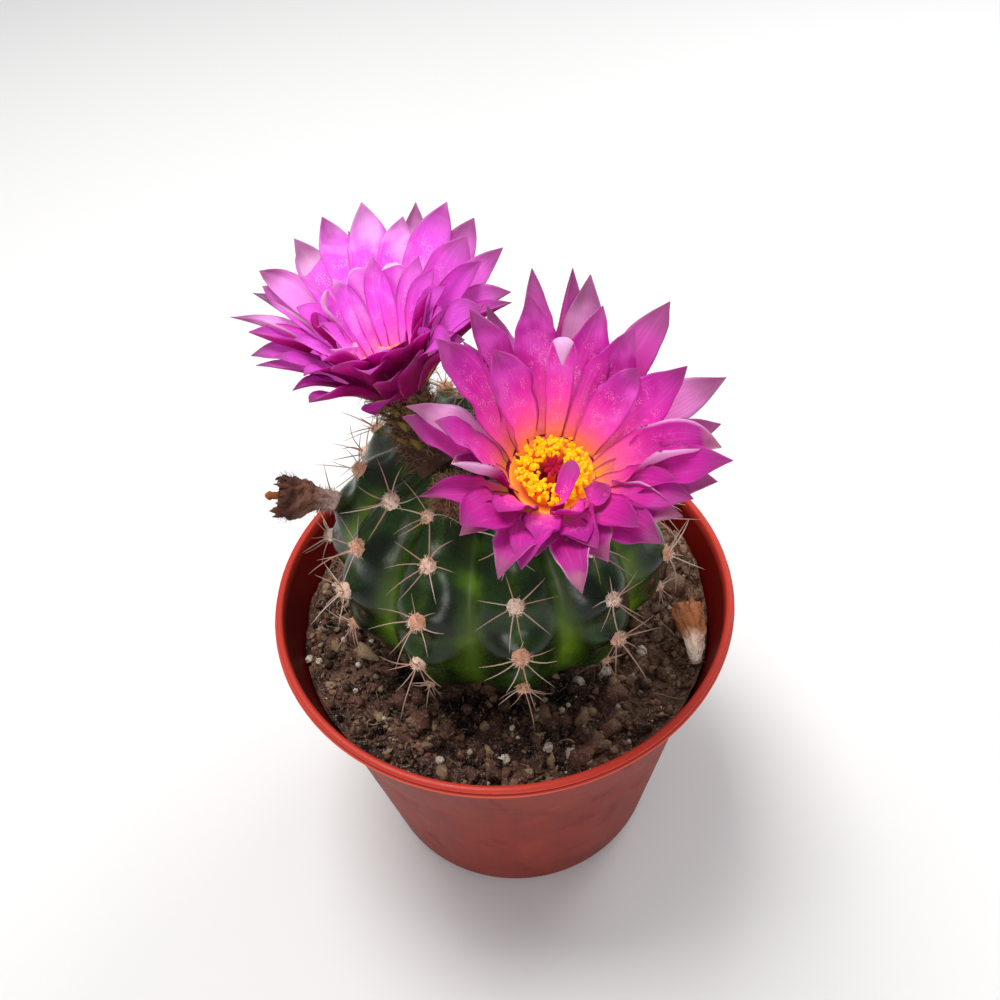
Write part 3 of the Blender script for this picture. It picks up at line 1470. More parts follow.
    def spine_paths(self, blooms: Sequence["Bloom"]) -> tuple[Array, Array]:
        """Works out the spines.

        Each areole has a fan that lies over the rib and a longer central spine that points down. One that
        would meet a bloom is laid flatter, and left out if that isn't enough.

        Args:
            blooms: The flowers that the spines have to clear.

        Returns:
            The spines' paths, as spines by steps by three, and their areoles' numbers.
        """
        areoles = self.areoles()
        index = np.arange(len(areoles))[:, None]
        point, normal = self.skin(areoles[:, 0], areoles[:, 1])
        above, _ = self.skin(areoles[:, 0], areoles[:, 1] + 2)
        below, _ = self.skin(areoles[:, 0], areoles[:, 1] - 2)
        upward = unit(above - below)
        aside = -np.cross(normal, upward)
        fan = np.arange(len(self.around) + 1)[None]
        angle = np.radians(np.array([*self.around, self.central_turn]) + 9 * jitter(index, fan))
        length = np.array([self.spine_length] * len(self.around) + [self.central_length])
        length = length * (1 + 0.16 * jitter(index, fan + 20)) * self.growth(areoles[:, 1:])
        lean = np.array([self.lean] * len(self.around) + [self.central_lean]) + 6 * jitter(index, fan + 40)
        share = np.linspace(0, 1, 7)[None, None, :, None]

        def laid(flatter: float) -> Array:
            """Returns all the spines' paths, leant over by so many degrees more."""
            tilt = np.radians(lean + flatter)[..., None]
            flat = upward[:, None] * np.cos(angle)[..., None] + aside[:, None] * np.sin(angle)[..., None]
            along = normal[:, None] * np.cos(tilt) + flat * np.sin(tilt)
            root = point[:, None] - self.spine_sunk * along
            bow, sway = (jitter(index, fan + key)[..., None, None] for key in (60, 80))
            side = np.cross(along, normal[:, None])[:, :, None] * sway * 0.09
            arch = np.sin(np.pi * share) * ((0.07 * bow + 0.04) * normal[:, None, None] + side)
            return root[:, :, None] + length[..., None, None] * (share * along[:, :, None] + arch)

        paths, flatter = laid(0), laid(self.laid_flatter)
        blocked = covered(paths, blooms)
        keep = ~(blocked & covered(flatter, blooms))
        paths = np.where(blocked[..., None, None], flatter, paths)
        return paths[keep], np.broadcast_to(index, keep.shape)[keep]

    def spine_shape(self, blooms: Sequence["Bloom"]) -> Shape:
        """Returns the spines: thin cones with a thickened foot."""
        paths, areole = self.spine_paths(blooms)
        share = np.linspace(0, 1, paths.shape[1])[None]
        count = np.arange(len(paths))[:, None]
        radii = self.spine_radius * mix(0.85, 1.15, chance(count, 91.0)) * (1 - share**3 * 0.85)
        radii = radii * (1 + 0.4 * np.exp(-share * 12))
        tone = chance(areole[:, None] + 0.01 * count, 92.0)
        return strands(paths, radii, 5, {"along": share, "tone": tone})

    def wool_shapes(self, blooms: Sequence["Bloom"]) -> Shape:
        """Returns the areoles' wool: a small cushion each, with curled hairs standing out of it."""
        areoles = self.areoles()
        point, normal = self.skin(areoles[:, 0], areoles[:, 1])
        clear = ~covered((point + 0.6 * normal)[:, None], blooms)
        point, normal = point[clear], normal[clear]
        count = len(point)
        size = (mix(1.15, 1.5, chance(np.arange(count), 101.0)) * self.growth(areoles[clear, 1]))[:, None]
        cushions = lumps(point - 0.25 * normal, size * np.ones((1, 3)), 0.12, 103.0, 2)
        which = np.repeat(np.arange(count), self.wool_hairs)
        number = np.arange(len(which))
        loose = spread(len(which), 105.0)
        along = unit(0.75 * normal[which] + loose)
        inward = (along * normal[which]).sum(-1, keepdims=True) < 0.05
        along = np.where(inward, unit(normal[which] + 0.6 * loose), along)
        roots = point[which] - 0.25 * normal[which] + 0.85 * size[which] * along
        lengths = mix(0.2, 0.6, chance(number, 106.0)) * size[which, 0]
        wool = hairs(roots, along, lengths, 0.075, 0.8, 107.0, 3)
        return Shape.joined([cushions, wool])

    def crown_wool(self) -> Shape:
        """Returns the wool of the growing point, between the blooms' roots."""
        number = np.arange(self.crown_hairs)
        azimuth = 360 * chance(number, 111.0)
        latitude = 90 - 16 * np.sqrt(chance(number, 112.0))
        point, normal = self.skin(azimuth, latitude, np.full(len(number), -0.1))
        along = unit(normal + 0.8 * spread(len(number), 113.0))
        return hairs(point, along, mix(1.0, 2.4, chance(number, 114.0)), 0.05, 0.5, 115.0)

    def build(self, blooms: Sequence["Bloom"]) -> None:
        """Makes the body, its wool and its spines."""
        add_piece("cactus_skin", self.shape(), CactusSkin().material(), ["cactus_body"])
        wool = Fibre("areole_wool", tint(216, 158, 128), tint(246, 214, 190), tint(255, 240, 226), 0.85)
        add_piece("areole_wool", self.wool_shapes(blooms), wool.material())
        add_piece("crown_wool", self.crown_wool(), wool.material())
        horn = Fibre("spine_horn", tint(184, 138, 122), tint(150, 130, 108), tint(214, 196, 176), 0.4)
        add_piece("spines", self.spine_shape(blooms), horn.material())


# Blooms


@dataclass(frozen=True)
class PetalRow:
    """One row of petals: their width, how far below the throat they start, and how early they rise.

    A petal is its clock angle, its tip's distance from the throat and the tip's angle above the throat's
    plane. One with a fourth number is that much paler than the rest, or only dry at its tip where that is
    below zero. A fifth is its width as a share of the row's.
    """

    width: float
    start: float
    bow: float
    petals: tuple[tuple[float, ...], ...]
    foot: float = 6.1


@dataclass
class Bloom:
    """One flower: petals on their cup, stamens, style and the woolly tube that it grows on."""

    side: str
    seed: int
    root: Triple
    throat: Triple
    tilt: tuple[float, float]
    cup_depth: float
    rows: tuple[PetalRow, ...]
    curled: tuple[tuple[float, ...], ...]
    silk: PetalSilk
    folds: Mapping[tuple[int, float], Triple] = field(default_factory=dict)
    tube_radius: float = 3.4
    cup_radius: float = 6.8
    cup_wall: float = 0.8
    cup_floor: float = 1.0
    cup_low: float = 3.0
    floor_radius: float = 2.2
    stamens: int = 270
    stamen_drop: float = 0.0
    lightest: float = 10.0
    contrast: float = 0.4
    narrow: float = 1.6
    wave: float = 0.28
    ragged: float = 0.08
    curl_pale: float = 0.0
    lobes: int = 8
    scales: int = 46
    tube_hairs: int = 2400
    clear_of_tube: float = 0.5
    clear_of_petals: float = 1.3

    def matrix(self) -> Array:
        """Returns the matrix of the bloom's frame: X right, Y away from the viewer, Z along the axis."""
        x, y = np.sin(np.radians(self.tilt))
        axis = np.array([x, y, np.sqrt(1 - x * x - y * y)])
        away = unit(np.array([0, 1.0, 0]) - axis * axis[1])
        return axes(np.cross(away, axis), away, axis, self.throat)

    def placed(self, points: Array) -> Array:
        """Returns points of the bloom's frame as points of the part."""
        matrix = self.matrix()
        return points @ matrix[:3, :3].T + matrix[:3, 3]

    def lit(self, clock: Array) -> Array:
        """Returns the petals' mean tone, lightest at one clock angle and deepest opposite it.

        It follows a raised cosine, whose power narrows the light side.
        """
        share = (0.5 + 0.5 * np.cos(np.radians(clock - self.lightest))) ** self.narrow
        return 0.5 + self.contrast * (2 * share - 1)

    def petal_table(self) -> dict[str, Array]:
        """Returns every petal's foot, knee and tip, out from and up along the axis, and its other numbers."""
        table: dict[str, list[Array]] = {}
        for level, row in enumerate(self.rows):
            filled = [(*petal, *(0.0, 1.0)[len(petal) - 3 :]) for petal in row.petals]
            clock, length, lean, pale, share = np.array(filled).T
            index, key = np.arange(len(clock)), self.seed + 10 * level
            tip_out, tip_up = length * np.cos(np.radians(lean)), length * np.sin(np.radians(lean))
            left = 1.3 * ease(chance(index, key + 5), 0.7, 1.0) + 0.25 * chance(index, key + 7)
            right = 1.3 * ease(chance(index, key + 6), 0.76, 1.0) + 0.2 * chance(index, key + 8)
            bend = mix(-0.5, 0.3, chance(index, key + 10))
            for place, angle in enumerate(clock):
                if (level, angle) in self.folds:
                    left[place], right[place], bend[place] = self.folds[level, angle]
            short = mix(0.86, 1, ease(length, 15, 23))
            columns = {
                "clock": clock,
                "foot_out": np.full(len(clock), row.foot),
                "foot_up": np.full(len(clock), row.start),
                "knee_out": mix(row.foot, tip_out, 0.38),
                "knee_up": mix(row.start, tip_up, row.bow),
                "tip_out": tip_out,
                "tip_up": tip_up,
                "width": row.width * share * (1 + 0.1 * jitter(index, key + 2)) * short,
                "power": mix(1.9, 3.2, chance(index, key + 11)),
                "tone": self.lit(clock) + 0.24 * jitter(index, key + 12),
                "sway": 0.8 * jitter(index, key + 3),
                "level": np.full(len(clock), min(level / 2.0, 1.0)),
                "pale": pale,
                "left": left,
                "right": right,
                "twist": 0.4 * jitter(index, key + 9),
                "bend": bend,
            }
            for name, column in columns.items():
                table.setdefault(name, []).append(column)
        for clock, reach, rise, width, lift, out, sway in self.curled:
            extra = {
                "clock": clock, "foot_out": self.cup_radius - self.cup_wall / 2, "foot_up": -0.6,
                "knee_out": out, "knee_up": lift, "tip_out": reach, "tip_up": rise, "width": width,
                "power": 14.0, "tone": 0.4, "sway": sway, "level": 0.8, "pale": self.curl_pale, "left": 0.3,
                "right": 0.4, "twist": 0.2, "bend": 0.4,
            }
            for name, value in extra.items():
                table[name].append(np.array([value]))
        return {name: np.concatenate(columns) for name, columns in table.items()}

    def petal_blades(self) -> Blades:
        """Returns the petals: each midrib curves out and up in the plane of its clock angle."""
        table = self.petal_table()
        out = from_back(np.radians(table["clock"]))
        ends = [
            table[f"{place}_out"][:, None] * out + table[f"{place}_up"][:, None] * UP
            for place in ("foot", "knee", "tip")
        ]
        ends[2] = ends[2] + table["sway"][:, None] * np.cross(out, UP)
        face = unit(UP - 0.9 * out)
        form = BladeForm(foot_width=0.6, widest=0.64, taper_from=0.56, taper_power=table["power"][:, None])
        folds = (table[name] for name in ("left", "right", "twist", "bend"))
        marks = (table[name] for name in ("level", "pale", "tone"))
        return Blades(*ends, face, table["width"], self.seed, form, *folds, self.wave, self.ragged, *marks)

    def cup_shape(self) -> Shape:
        """Returns the cup that carries the petals: a thin bowl, coloured as the throat inside."""
        deep, wall = -self.cup_depth, self.cup_radius - self.cup_wall
        corners = np.array(
            [[0, deep], [self.cup_low, deep], [self.cup_radius, -1], [self.cup_radius, 0], [wall, 0],
             [self.floor_radius, self.cup_floor + deep], [0, self.cup_floor + deep]]
        )
        profile = rounded(corners, 0.6, 5)
        inside = (np.arange(len(profile)) > 0.6 * len(profile))[1:-1, None]
        upper = inside & (profile[1:-1, 1:] > -2.6)
        values = {"along": np.where(inside, 0.0, 0.3), "across": 0.3, "tone": 0.9, "level": 0.5, "pale": 0.0,
                  "under": 1.0 - upper}
        return loft(turned(profile[1:-1], 60)[None], values, (profile[:1, 1:] * UP, profile[-1:, 1:] * UP))

    def stamen_shapes(self) -> Shape:
        """Returns the stamens: curved filaments from the cup's wall, each with an oblong anther."""
        index = np.arange(self.stamens)
        clock = np.radians(GOLDEN * index) + 0.2 * jitter(index, self.seed + 0.3)
        order = index / self.stamens
        reach = mix(2.1, 5.2, order**0.75) + 0.25 * jitter(index, self.seed + 0.6)
        top = mix(1.6, 1.9, order) + 0.6 * jitter(index, self.seed + 1.1) - self.stamen_drop
        out = from_back(clock)
        low = -3.1 - self.stamen_drop
        wall = [self.floor_radius, self.cup_radius - self.cup_wall]
        foot = (np.interp(low, [self.cup_floor - self.cup_depth, 0], wall) - 0.1) * out + low * UP
        tip = reach[:, None] * out + top[:, None] * UP
        knee = (reach[:, None] * 0.6 + 1.8) * out + (top[:, None] * 0.35 - 0.6) * UP
        share = np.linspace(0, 1, 6)
        values = {"along": 0.6 * share, "tone": chance(index, self.seed + 1.3)[:, None]}
        filaments = strands(curve(foot, knee, tip, share), np.full((self.stamens, 6), 0.11), 4, values)
        long = mix(0.34, 0.54, chance(index, self.seed + 1.6))
        anthers = lumps(tip, np.stack([long, 0.62 * long, 0.6 * long], -1), 0.2, self.seed + 2.0, 1)
        anthers.values["along"] = anthers.values["along"] + 1.0
        return Shape.joined([filaments, anthers])

    def style_shape(self) -> Shape:
        """Returns the style: a column with a star of velvety lobes at its top."""
        foot, top = self.cup_floor - self.cup_depth + GAP, 2.4 - self.stamen_drop
        heights = np.linspace(foot, top, 8)[None, :, None]
        column = strands(heights * UP, np.full((1, 8), 0.6), 14, {"along": 0.0})
        index = np.arange(self.lobes)
        out = from_back(TURN * (index + 0.3) / self.lobes)
        root = (top - 0.5) * UP + 0 * out
        knee = 0.95 * out + (top + 0.55) * UP
        tip = 1.7 * out + (top + 0.5 + 0.4 * chance(index, 9.0))[:, None] * UP
        share = np.linspace(0, 1, 8)
        radii = 0.42 * np.sqrt(np.sin(np.pi * mix(0.16, 0.99, share))) + 0 * index[:, None]
        lobes = strands(curve(root, knee, tip, share), radii, 9, {"along": 1.0})
        return Shape.joined([column, lobes])

    def tube_line(self, share: Array) -> Array:
        """Returns points of the tube's middle line, a quadratic curve from the root to the cup's collar."""
        knee, end = self.placed(np.array([[-self.cup_depth - 3], [-0.35 * self.cup_depth]]) * UP)
        return curve((self.root - 2 * UP)[None], knee[None], end[None], share)[0]

    def tube_girth(self, share: Array) -> Array:
        """Returns the tube's radius, widest at both ends."""
        return self.tube_radius * np.interp(share, [0, 0.25, 0.5, 0.75, 1], [1.25, 1.05, 1, 1.25, 1.6])

    def tube_shape(self) -> Shape:
        """Returns the trunk of the tube, which narrows again to end below the cup."""
        share = np.linspace(0, 1, 60)
        line = self.tube_line(share)
        inverse = np.linalg.inv(self.matrix())
        local = (line @ inverse[:3, :3].T + inverse[:3, 3])[:, 2]
        keep = local < -self.cup_depth - 0.2
        share, line = share[keep], line[keep]
        girth = np.minimum(self.tube_girth(share), mix(9, 3.0, ease(share, 0.2, share[-1])))
        return strands(line[None], girth[None], 40, {"along": 0.4 * share})

    def outward(self, share: Array, spin: Array) -> tuple[Array, Array, Array]:
        """Works out places round the tube.

        Args:
            share: Shares along the tube.
            spin: Angles round it.

        Returns:
            Points of the middle line, unit vectors out of it at those angles, and unit vectors along it.
        """
        line = self.tube_line(share)
        along = unit(self.tube_line(share + 0.01) - line)
        u = unit(np.cross(np.array([0, 1.0, 0]), along))
        v = np.cross(along, u)
        return line, u * np.cos(spin)[:, None] + v * np.sin(spin)[:, None], along

    def scale_shape(self) -> Shape:
        """Returns the tube's scales: narrow pointed blades in a spiral, longer towards the petals."""
        index = np.arange(self.scales)
        share = mix(0.14, 0.86, (index + 0.5) / self.scales)
        line, outward, along = self.outward(share, np.radians(GOLDEN * index))
        length = mix(3.0, 4.6, share) * (1 + 0.15 * jitter(index, self.seed + 31))
        foot = line + outward * (self.tube_girth(share) * 0.86)[:, None]
        knee = foot + 0.5 * length[:, None] * (0.5 * outward + 0.9 * along)
        tip = foot + length[:, None] * (0.62 * outward + 0.8 * along)
        form = BladeForm(0.7, 0.4, 0.3, 1.6, 0.3, 0.35, 0.0, 12, 7)
        zero = np.zeros(self.scales)
        width = mix(1.5, 2.4, share)
        folds = (zero, zero, zero, zero - 0.2)
        return Blades(foot, knee, tip, -outward, width, self.seed + 33, form, *folds).shape()

    def hair_shape(self) -> Shape:
        """Returns the tube's wool, which stands out of the scales' axils."""
        index = np.arange(self.tube_hairs)
        share = mix(0.08, 0.97, chance(index, self.seed + 35))
        line, outward, along = self.outward(share, TURN * chance(index, self.seed + 36))
        start = unit(outward + 0.35 * along + 0.5 * spread(self.tube_hairs, self.seed + 37.0))
        roots = line + outward * (self.tube_girth(share) * 0.95)[:, None]
        lengths = mix(1.0, 3.2, chance(index, self.seed + 38) ** 3)
        return hairs(roots, start, lengths, 0.05, 0.55, self.seed + 39.0)

    def covers(self, points: Array) -> Array:
        """Returns which points lie in the tube, or nearer to a petal than a spine may come."""
        share = np.linspace(0, 1, 14)
        line, girth = self.tube_line(share), self.tube_girth(share)
        from_tube = np.linalg.norm(points[..., None, :] - line, axis=-1) - girth
        blades = self.petal_blades()
        spine, run, up = blades.midrib(np.linspace(0.05, 1, 14))
        half = 0.4 * blades.width[:, None, None] * np.cross(run, up)
        petals = self.placed(np.concatenate([spine - half, spine, spine + half], 1).reshape(-1, 3))
        from_petal = np.linalg.norm(points[..., None, :] - petals, axis=-1)
        return (from_tube.min(-1) < self.clear_of_tube) | (from_petal.min(-1) < self.clear_of_petals)

    def build(self) -> None:
        """Makes the bloom's pieces."""
        name = f"{self.side}_bloom"
        matrix = self.matrix()
        petals = Shape.joined([self.petal_blades().shape(), self.cup_shape()]).moved(matrix)
        add_piece(f"{self.side}_petals", petals, self.silk.material(), [f"{name}_petals"])
        stamens = self.stamen_shapes().moved(matrix)
        add_piece(f"{self.side}_stamens", stamens, Pollen().material(), [f"{name}_stamens"])
        style = self.style_shape().moved(matrix)
        add_piece(f"{self.side}_style", style, Velvet().material(), [f"{name}_style"])
        bark = replace(TUBE_SKIN, name=f"{self.side}_tube_skin")
        add_piece(f"{self.side}_tube", self.tube_shape(), bark.material(), [f"{name}_tube"])
        leaf = replace(SCALE_SKIN, name=f"{self.side}_scale_skin")
        add_piece(f"{self.side}_scales", self.scale_shape(), leaf.material())
        wool = replace(TUBE_WOOL, name=f"{self.side}_tube_wool")
        add_piece(f"{self.side}_tube_wool", self.hair_shape(), wool.material())


def covered(paths: Array, blooms: Sequence[Bloom]) -> Array:
    """Returns which paths, in any batches of them, have a point that comes too near to a bloom."""
    return np.any([bloom.covers(paths).any(-1) for bloom in blooms], 0)


# Bud and dried flowers


@dataclass
class WoollyBud:
    """A small bud at the crown, all wool outside."""

    centre: Triple = (-6.3, -11.6, 99.3)
    radius: float = 2.8
    length: float = 3.6
    count: int = 900

    def build(self) -> None:
        """Makes the bud's fluted core and its wool."""
        centre = np.array(self.centre)
        points, faces = ball(4)
        spin = np.arctan2(points[:, 1], points[:, 0])
        flutes = 1 + 0.05 * np.sin(9 * spin) + 0.05 * np.sin(14 * points[:, 2])
        local = points * flutes[:, None] * [self.radius, self.radius, self.length] * 0.93
        core = Shape(centre + local, NO_QUADS, faces, {"along": (points[:, 2] + 1) / 2})
        skin = Husk("bud_skin", tint(86, 56, 40), tint(112, 62, 48), tint(96, 52, 40), tint(48, 30, 24))
        add_piece("bud_core", core, skin.material(), ["woolly_bud"])
        index = np.arange(self.count)
        away = spread(self.count, 131.0)
        keep = away[:, 2] > -0.55
        away, index = away[keep], index[keep]
        roots = centre + away * [self.radius, self.radius, self.length] * 0.9
        along = unit(away + 0.45 * UP + 0.4 * spread(len(away), 133.0))
        wool = hairs(roots, along, mix(0.9, 2.2, chance(index, 134.0)), 0.05, 0.6, 135.0)
        fibre = Fibre("bud_wool", tint(92, 56, 42), tint(132, 92, 70), tint(172, 140, 112))
        add_piece("bud_wool", wool, fibre.material())


class Dried(Enum):
    """Which dried flower is made, by the solid that it stands for."""

    WITHERED = "withered_flower"
    FALLEN = "fallen_flower"


@dataclass
class DriedFlower:
    """A dried flower: a crumpled tube along a path, with shreds of petals and bristles at its wide end."""

    kind: Dried
    path: tuple[Triple, ...]
    radii: tuple[float, ...]
    seed: float
    skin: Husk
    shred_skin: Husk
    fibre: Fibre
    stub: Husk | None = None
    shreds: int = 22
    bristles: int = 160
    fuzz: int = 420

    def at(self, share: Array) -> tuple[Array, Array]:
        """Returns points of the path and the radii there, straight between the given ones."""
        given = np.linspace(0, 1, len(self.path))
        line = np.stack([np.interp(share, given, column) for column in zip(*self.path)], -1)
        return line, np.interp(share, given, self.radii)

    def line(self, share: Array) -> tuple[Array, Array]:
        """Returns the same with each point moved to the mean of five neighbours, itself in the middle."""
        line, radius = self.at(share)
        padded = np.pad(line, ((2, 2), (0, 0)), "edge")
        return np.stack([np.convolve(column, np.ones(5) / 5, "valid") for column in padded.T], -1), radius

    def frame(self) -> tuple[Array, Array, Array]:
        """Returns the direction from foot to wide end and two vectors square to it."""
        path = np.array(self.path)
        away = unit(path[-1] - path[0])
        u = unit(np.cross(UP, away))
        return away, u, np.cross(away, u)

    def trunk(self) -> Shape:
        """Returns the crumpled tube: pleats along it and dents, both as shares of its radius."""
        steps, sides = 56, 72
        share = np.linspace(0, 1, steps)
        line, radius = self.line(share)
        _, u, v = self.frame()
        angle = TURN * np.arange(sides) / sides
        s, a = share[:, None], angle[None]
        twisted = a + 1.4 * s
        pleats = 0.09 * np.sin(7 * twisted + 2 * np.sin(5 * s + self.seed))
        pleats = pleats + 0.05 * np.sin(13 * twisted - 4 * s)
        x, y = 1.7 * np.cos(a) + 9 + 0 * s, 1.7 * np.sin(a) + 7 * s
        dents = 0.16 * patches(x, y, self.seed) + 0.08 * patches(2.3 * x, 2.3 * y, self.seed + 1)
        size = radius[:, None] * (1 + (pleats + dents) * ease(s, 0.0, 0.3))
        rings = line[:, None] + size[..., None] * (np.cos(a)[..., None] * u + np.sin(a)[..., None] * v)
        return loft(rings[None], {"along": s}, (line[:1], line[-12:-11]))

    def shred_shape(self) -> Shape:
        """Returns shrivelled petals that fold over one another at the wide end."""
        index = np.arange(self.shreds)
        away, u, v = self.frame()
        angle = TURN * (index + 0.5 * jitter(index, self.seed + 3)) / self.shreds * 2
        outward = np.cos(angle)[:, None] * u + np.sin(angle)[:, None] * v
        base, radius = self.line(mix(0.62, 0.9, chance(index, self.seed + 4)))
        foot = base + outward * (radius * 0.8)[:, None]
        length = mix(2.2, 4.2, chance(index, self.seed + 5))[:, None]
        knee = foot + length * (0.45 * away + 0.3 * outward)
        spread_out = mix(-0.35, 0.35, chance(index, self.seed + 6))[:, None]
        tip = foot + length * (0.85 * away + spread_out * outward)
        form = BladeForm(0.5, 0.5, 0.45, 1.8, 0.22, 0.5, 0.2, 14, 9)
        width = mix(1.0, 2.2, chance(index, self.seed + 9))
        folds = (
            1.6 * chance(index, self.seed + 7),
            1.6 * chance(index, self.seed + 8),
            1.2 * jitter(index, self.seed + 10),
            mix(-0.5, 1.4, chance(index, self.seed + 17)),
        )
        return Blades(foot, knee, tip, -outward, width, self.seed, form, *folds, 0.5, 0.16).shape()

    def hair_shape(self) -> Shape:
        """Returns the stiff dark bristles of the wide end and the fuzz of the tube."""
        away, u, v = self.frame()
        index = np.arange(self.bristles + self.fuzz)
        bristle = index < self.bristles
        low, high = 0.85 * chance(index, self.seed + 12) ** 1.7, mix(0.7, 0.98, chance(index, self.seed + 11))
        share = np.where(bristle, high, low)
        angle = TURN * chance(index, self.seed + 13)
        outward = np.cos(angle)[:, None] * u + np.sin(angle)[:, None] * v
        order = np.argsort(share)
        share, outward, bristle = share[order], outward[order], bristle[order]
        base, radius = self.at(share)
        lean = np.where(bristle, 0.9, 0.2)[:, None]
        along = unit(outward + lean * away + 0.35 * spread(len(index), self.seed + 14))
        short, long = mix(0.4, 1.1, chance(index, 5.0)), mix(0.8, 2.2, chance(index, self.seed + 15))
        lengths = np.where(bristle, long, short)
        tone = np.where(bristle, 0, 1 - ease(share, 0.05, 0.6)) * mix(0.5, 1, chance(index, self.seed + 18))
        roots = base + outward * (radius * 0.9)[:, None]
        return hairs(roots, along, lengths, 0.045, 0.4, self.seed + 16, 4, tone)

    def stub_shape(self) -> Shape:
        """Returns the stub of the style that sticks out of the wide end."""
        away, _, v = self.frame()
        share = np.linspace(0, 1, 12)
        start = np.array(self.path[-2]) + 0.4 * v
        line = start + share[:, None] * (4.4 * away - 0.5 * v)
        knobs = 0.7 + 0.09 * np.sin(17 * share) + 0.06 * np.sin(31 * share + 1)
        radii = np.minimum(knobs, 2 * np.sqrt(1.02 - share))[None]
        return strands(line[None], radii, 16, {"along": share})

    def build(self) -> None:
        """Makes the flower's pieces."""
        name = self.kind.value.replace("_flower", "")
        node = [self.kind.value]
        add_piece(f"{name}_husk", self.trunk(), self.skin.material(), node)
        add_piece(f"{name}_shreds", self.shred_shape(), self.shred_skin.material())
        add_piece(f"{name}_fuzz", self.hair_shape(), self.fibre.material())
        if self.stub:
            add_piece(f"{name}_stub", self.stub_shape(), self.stub.material())


# Studio


@dataclass
class Studio:
    """Camera, soft light and the plain pale floor."""

    eye: Triple = (0.0, -117.43, 208.66)
    heading: float = 0.4373012
    climb: float = -46.3042816
    roll: float = -4.8289888
    lens: float = 36.0
    sensor: float = 36.0
    half_floor: float = 3.0

    def camera(self) -> None:
        """Makes the camera at the photograph's angle.

        It looks along +Y turned by the heading towards +X and raised by the climb, all in degrees. Its right
        and up vectors are then turned about that line by the roll.
        """
        data = bpy.data.cameras.new("camera")
        data.sensor_width, data.lens = self.sensor, self.lens
        data.clip_start, data.clip_end = 0.01, 20.0
        climb, roll = np.radians([self.climb, self.roll])
        ahead = np.cos(climb) * from_back(np.radians(self.heading)) + np.sin(climb) * UP
        level = unit(np.cross(ahead, UP))
        square = np.cross(level, ahead)
        right, up = np.cos(roll) * level + np.sin(roll) * square, np.cos(roll) * square - np.sin(roll) * level
        camera = put_in_scene("camera", data)
        camera.matrix_world = Matrix(axes(right, up, -ahead, np.array(self.eye) * MM))
        bpy.context.scene.camera = camera

    def light(self, name: str, place: Triple, power: float, size: float, colour: Colour) -> None:
        """Makes a square soft light that points at the plant.

        Args:
            name: The light's name.
            place: Where it hangs, in metres.
            power: Its power in watts.
            size: Its side in metres.
            colour: Its colour.
        """
        data = bpy.data.lights.new(name, "AREA")
        data.energy, data.size, data.color = power, size, colour
        back = unit(place - 0.08 * UP)
        side = unit(np.cross([0, 1.0, 0.01], back))
        put_in_scene(name, data).matrix_world = Matrix(axes(side, np.cross(back, side), back, place))

    def build(self) -> None:
        """Makes the floor, the lights and the pale surroundings."""
        half = self.half_floor
        mesh = bpy.data.meshes.new("floor")
        corners = [(-half, -half, 0), (half, -half, 0), (half, half, 0), (-half, half, 0)]
        mesh.from_pydata(corners, [], [(0, 1, 2, 3)])
        mesh.materials.append(StudioPaper().material())
        put_in_scene("floor", mesh)
        self.light("key", (-0.16, 0.14, 0.78), 4.6, 0.34, (1.0, 0.98, 0.95))
        self.light("rim", (0.4, 0.35, 0.42), 1.2, 0.3, (1.0, 1.0, 1.0))
        self.light("front", (-0.08, -0.75, 0.26), 1.6, 0.26, (1.0, 0.99, 0.97))
        world = bpy.data.worlds.new("surroundings")
        world.use_nodes = True
        sky = world.node_tree.nodes["Background"]
        sky.inputs["Color"].default_value = (0.95, 0.97, 1.0, 1.0)
        sky.inputs["Strength"].default_value = 0.38
        bpy.context.scene.world = world
        bpy.context.scene.view_settings.view_transform = "Standard"
        bpy.context.scene.view_settings.look = "None"


# The plant

RIGHT_BLOOM = Bloom(
    side="right",
    seed=3,
    root=(0.8, -8.2, 98.0),
    throat=(8.6, -15.5, 106.3),
    tilt=(4, -20),
    cup_depth=6.2,
    rows=(
        PetalRow(6.5, -2.6, 0.6, (
            (-6, 29.7, 31), (7, 29.4, 32), (16, 29, 31, 0.9), (43, 29.5, 31), (70, 28, 28, 0.5), (88, 25, 28),
            (111, 24.7, 32, -0.4), (127, 21.4, 30, -1), (141, 22.4, 30), (163, 19.5, 30, -0.6),
            (176, 24.2, 30, -1, 0.8), (-167, 17.4, 30), (-155, 24, 30, -0.4), (-134, 21, 30, -0.7),
            (-113, 24, 30), (-84, 25.5, 30), (-75, 24.4, 34, 0.9), (-39, 23, 30, 0.6), (-24, 26, 30, 0.2))),
        PetalRow(7.6, -1.4, 0.66, (
            (-10, 26, 36), (-32, 26.7, 36), (-51, 26.5, 37), (37, 24.2, 37), (68, 25.5, 38), (96, 26, 37, -1),
            (106, 27.7, 33), (119, 22.5, 33), (146, 20, 35), (164, 19, 34), (-160, 21.5, 32), (-131, 23, 33),
            (22, 25, 36), (-86, 22, 37))),
        PetalRow(6.8, -0.4, 0.68, (
            (6, 25.6, 43, -1, 0.68), (-32, 20.6, 44), (-102, 18.5, 34, -1), (171, 15, 40), (-167, 17, 33),
            (173, 18, 32), (-140, 17, 38), (52, 20, 44))),
    ),
    curled=((180, 0.6, 4.7, 3.2, 6.4, 7.6, -2.7), (158, 7.2, 4.6, 6.4, 4.0, 8.6, -5.4)),
    silk=RIGHT_SILK,
    folds={
        (2, 6): (0.3, 0.5, 3.1), (2, -102): (2.3, 0.2, 0.2), (1, 96): (0.2, 1.9, -0.9),
        (1, -32): (0.9, 0.1, 0.2), (2, 171): (1.0, 0.4, 0.5), (1, 68): (0.1, 0.9, 0.4),
    },
)

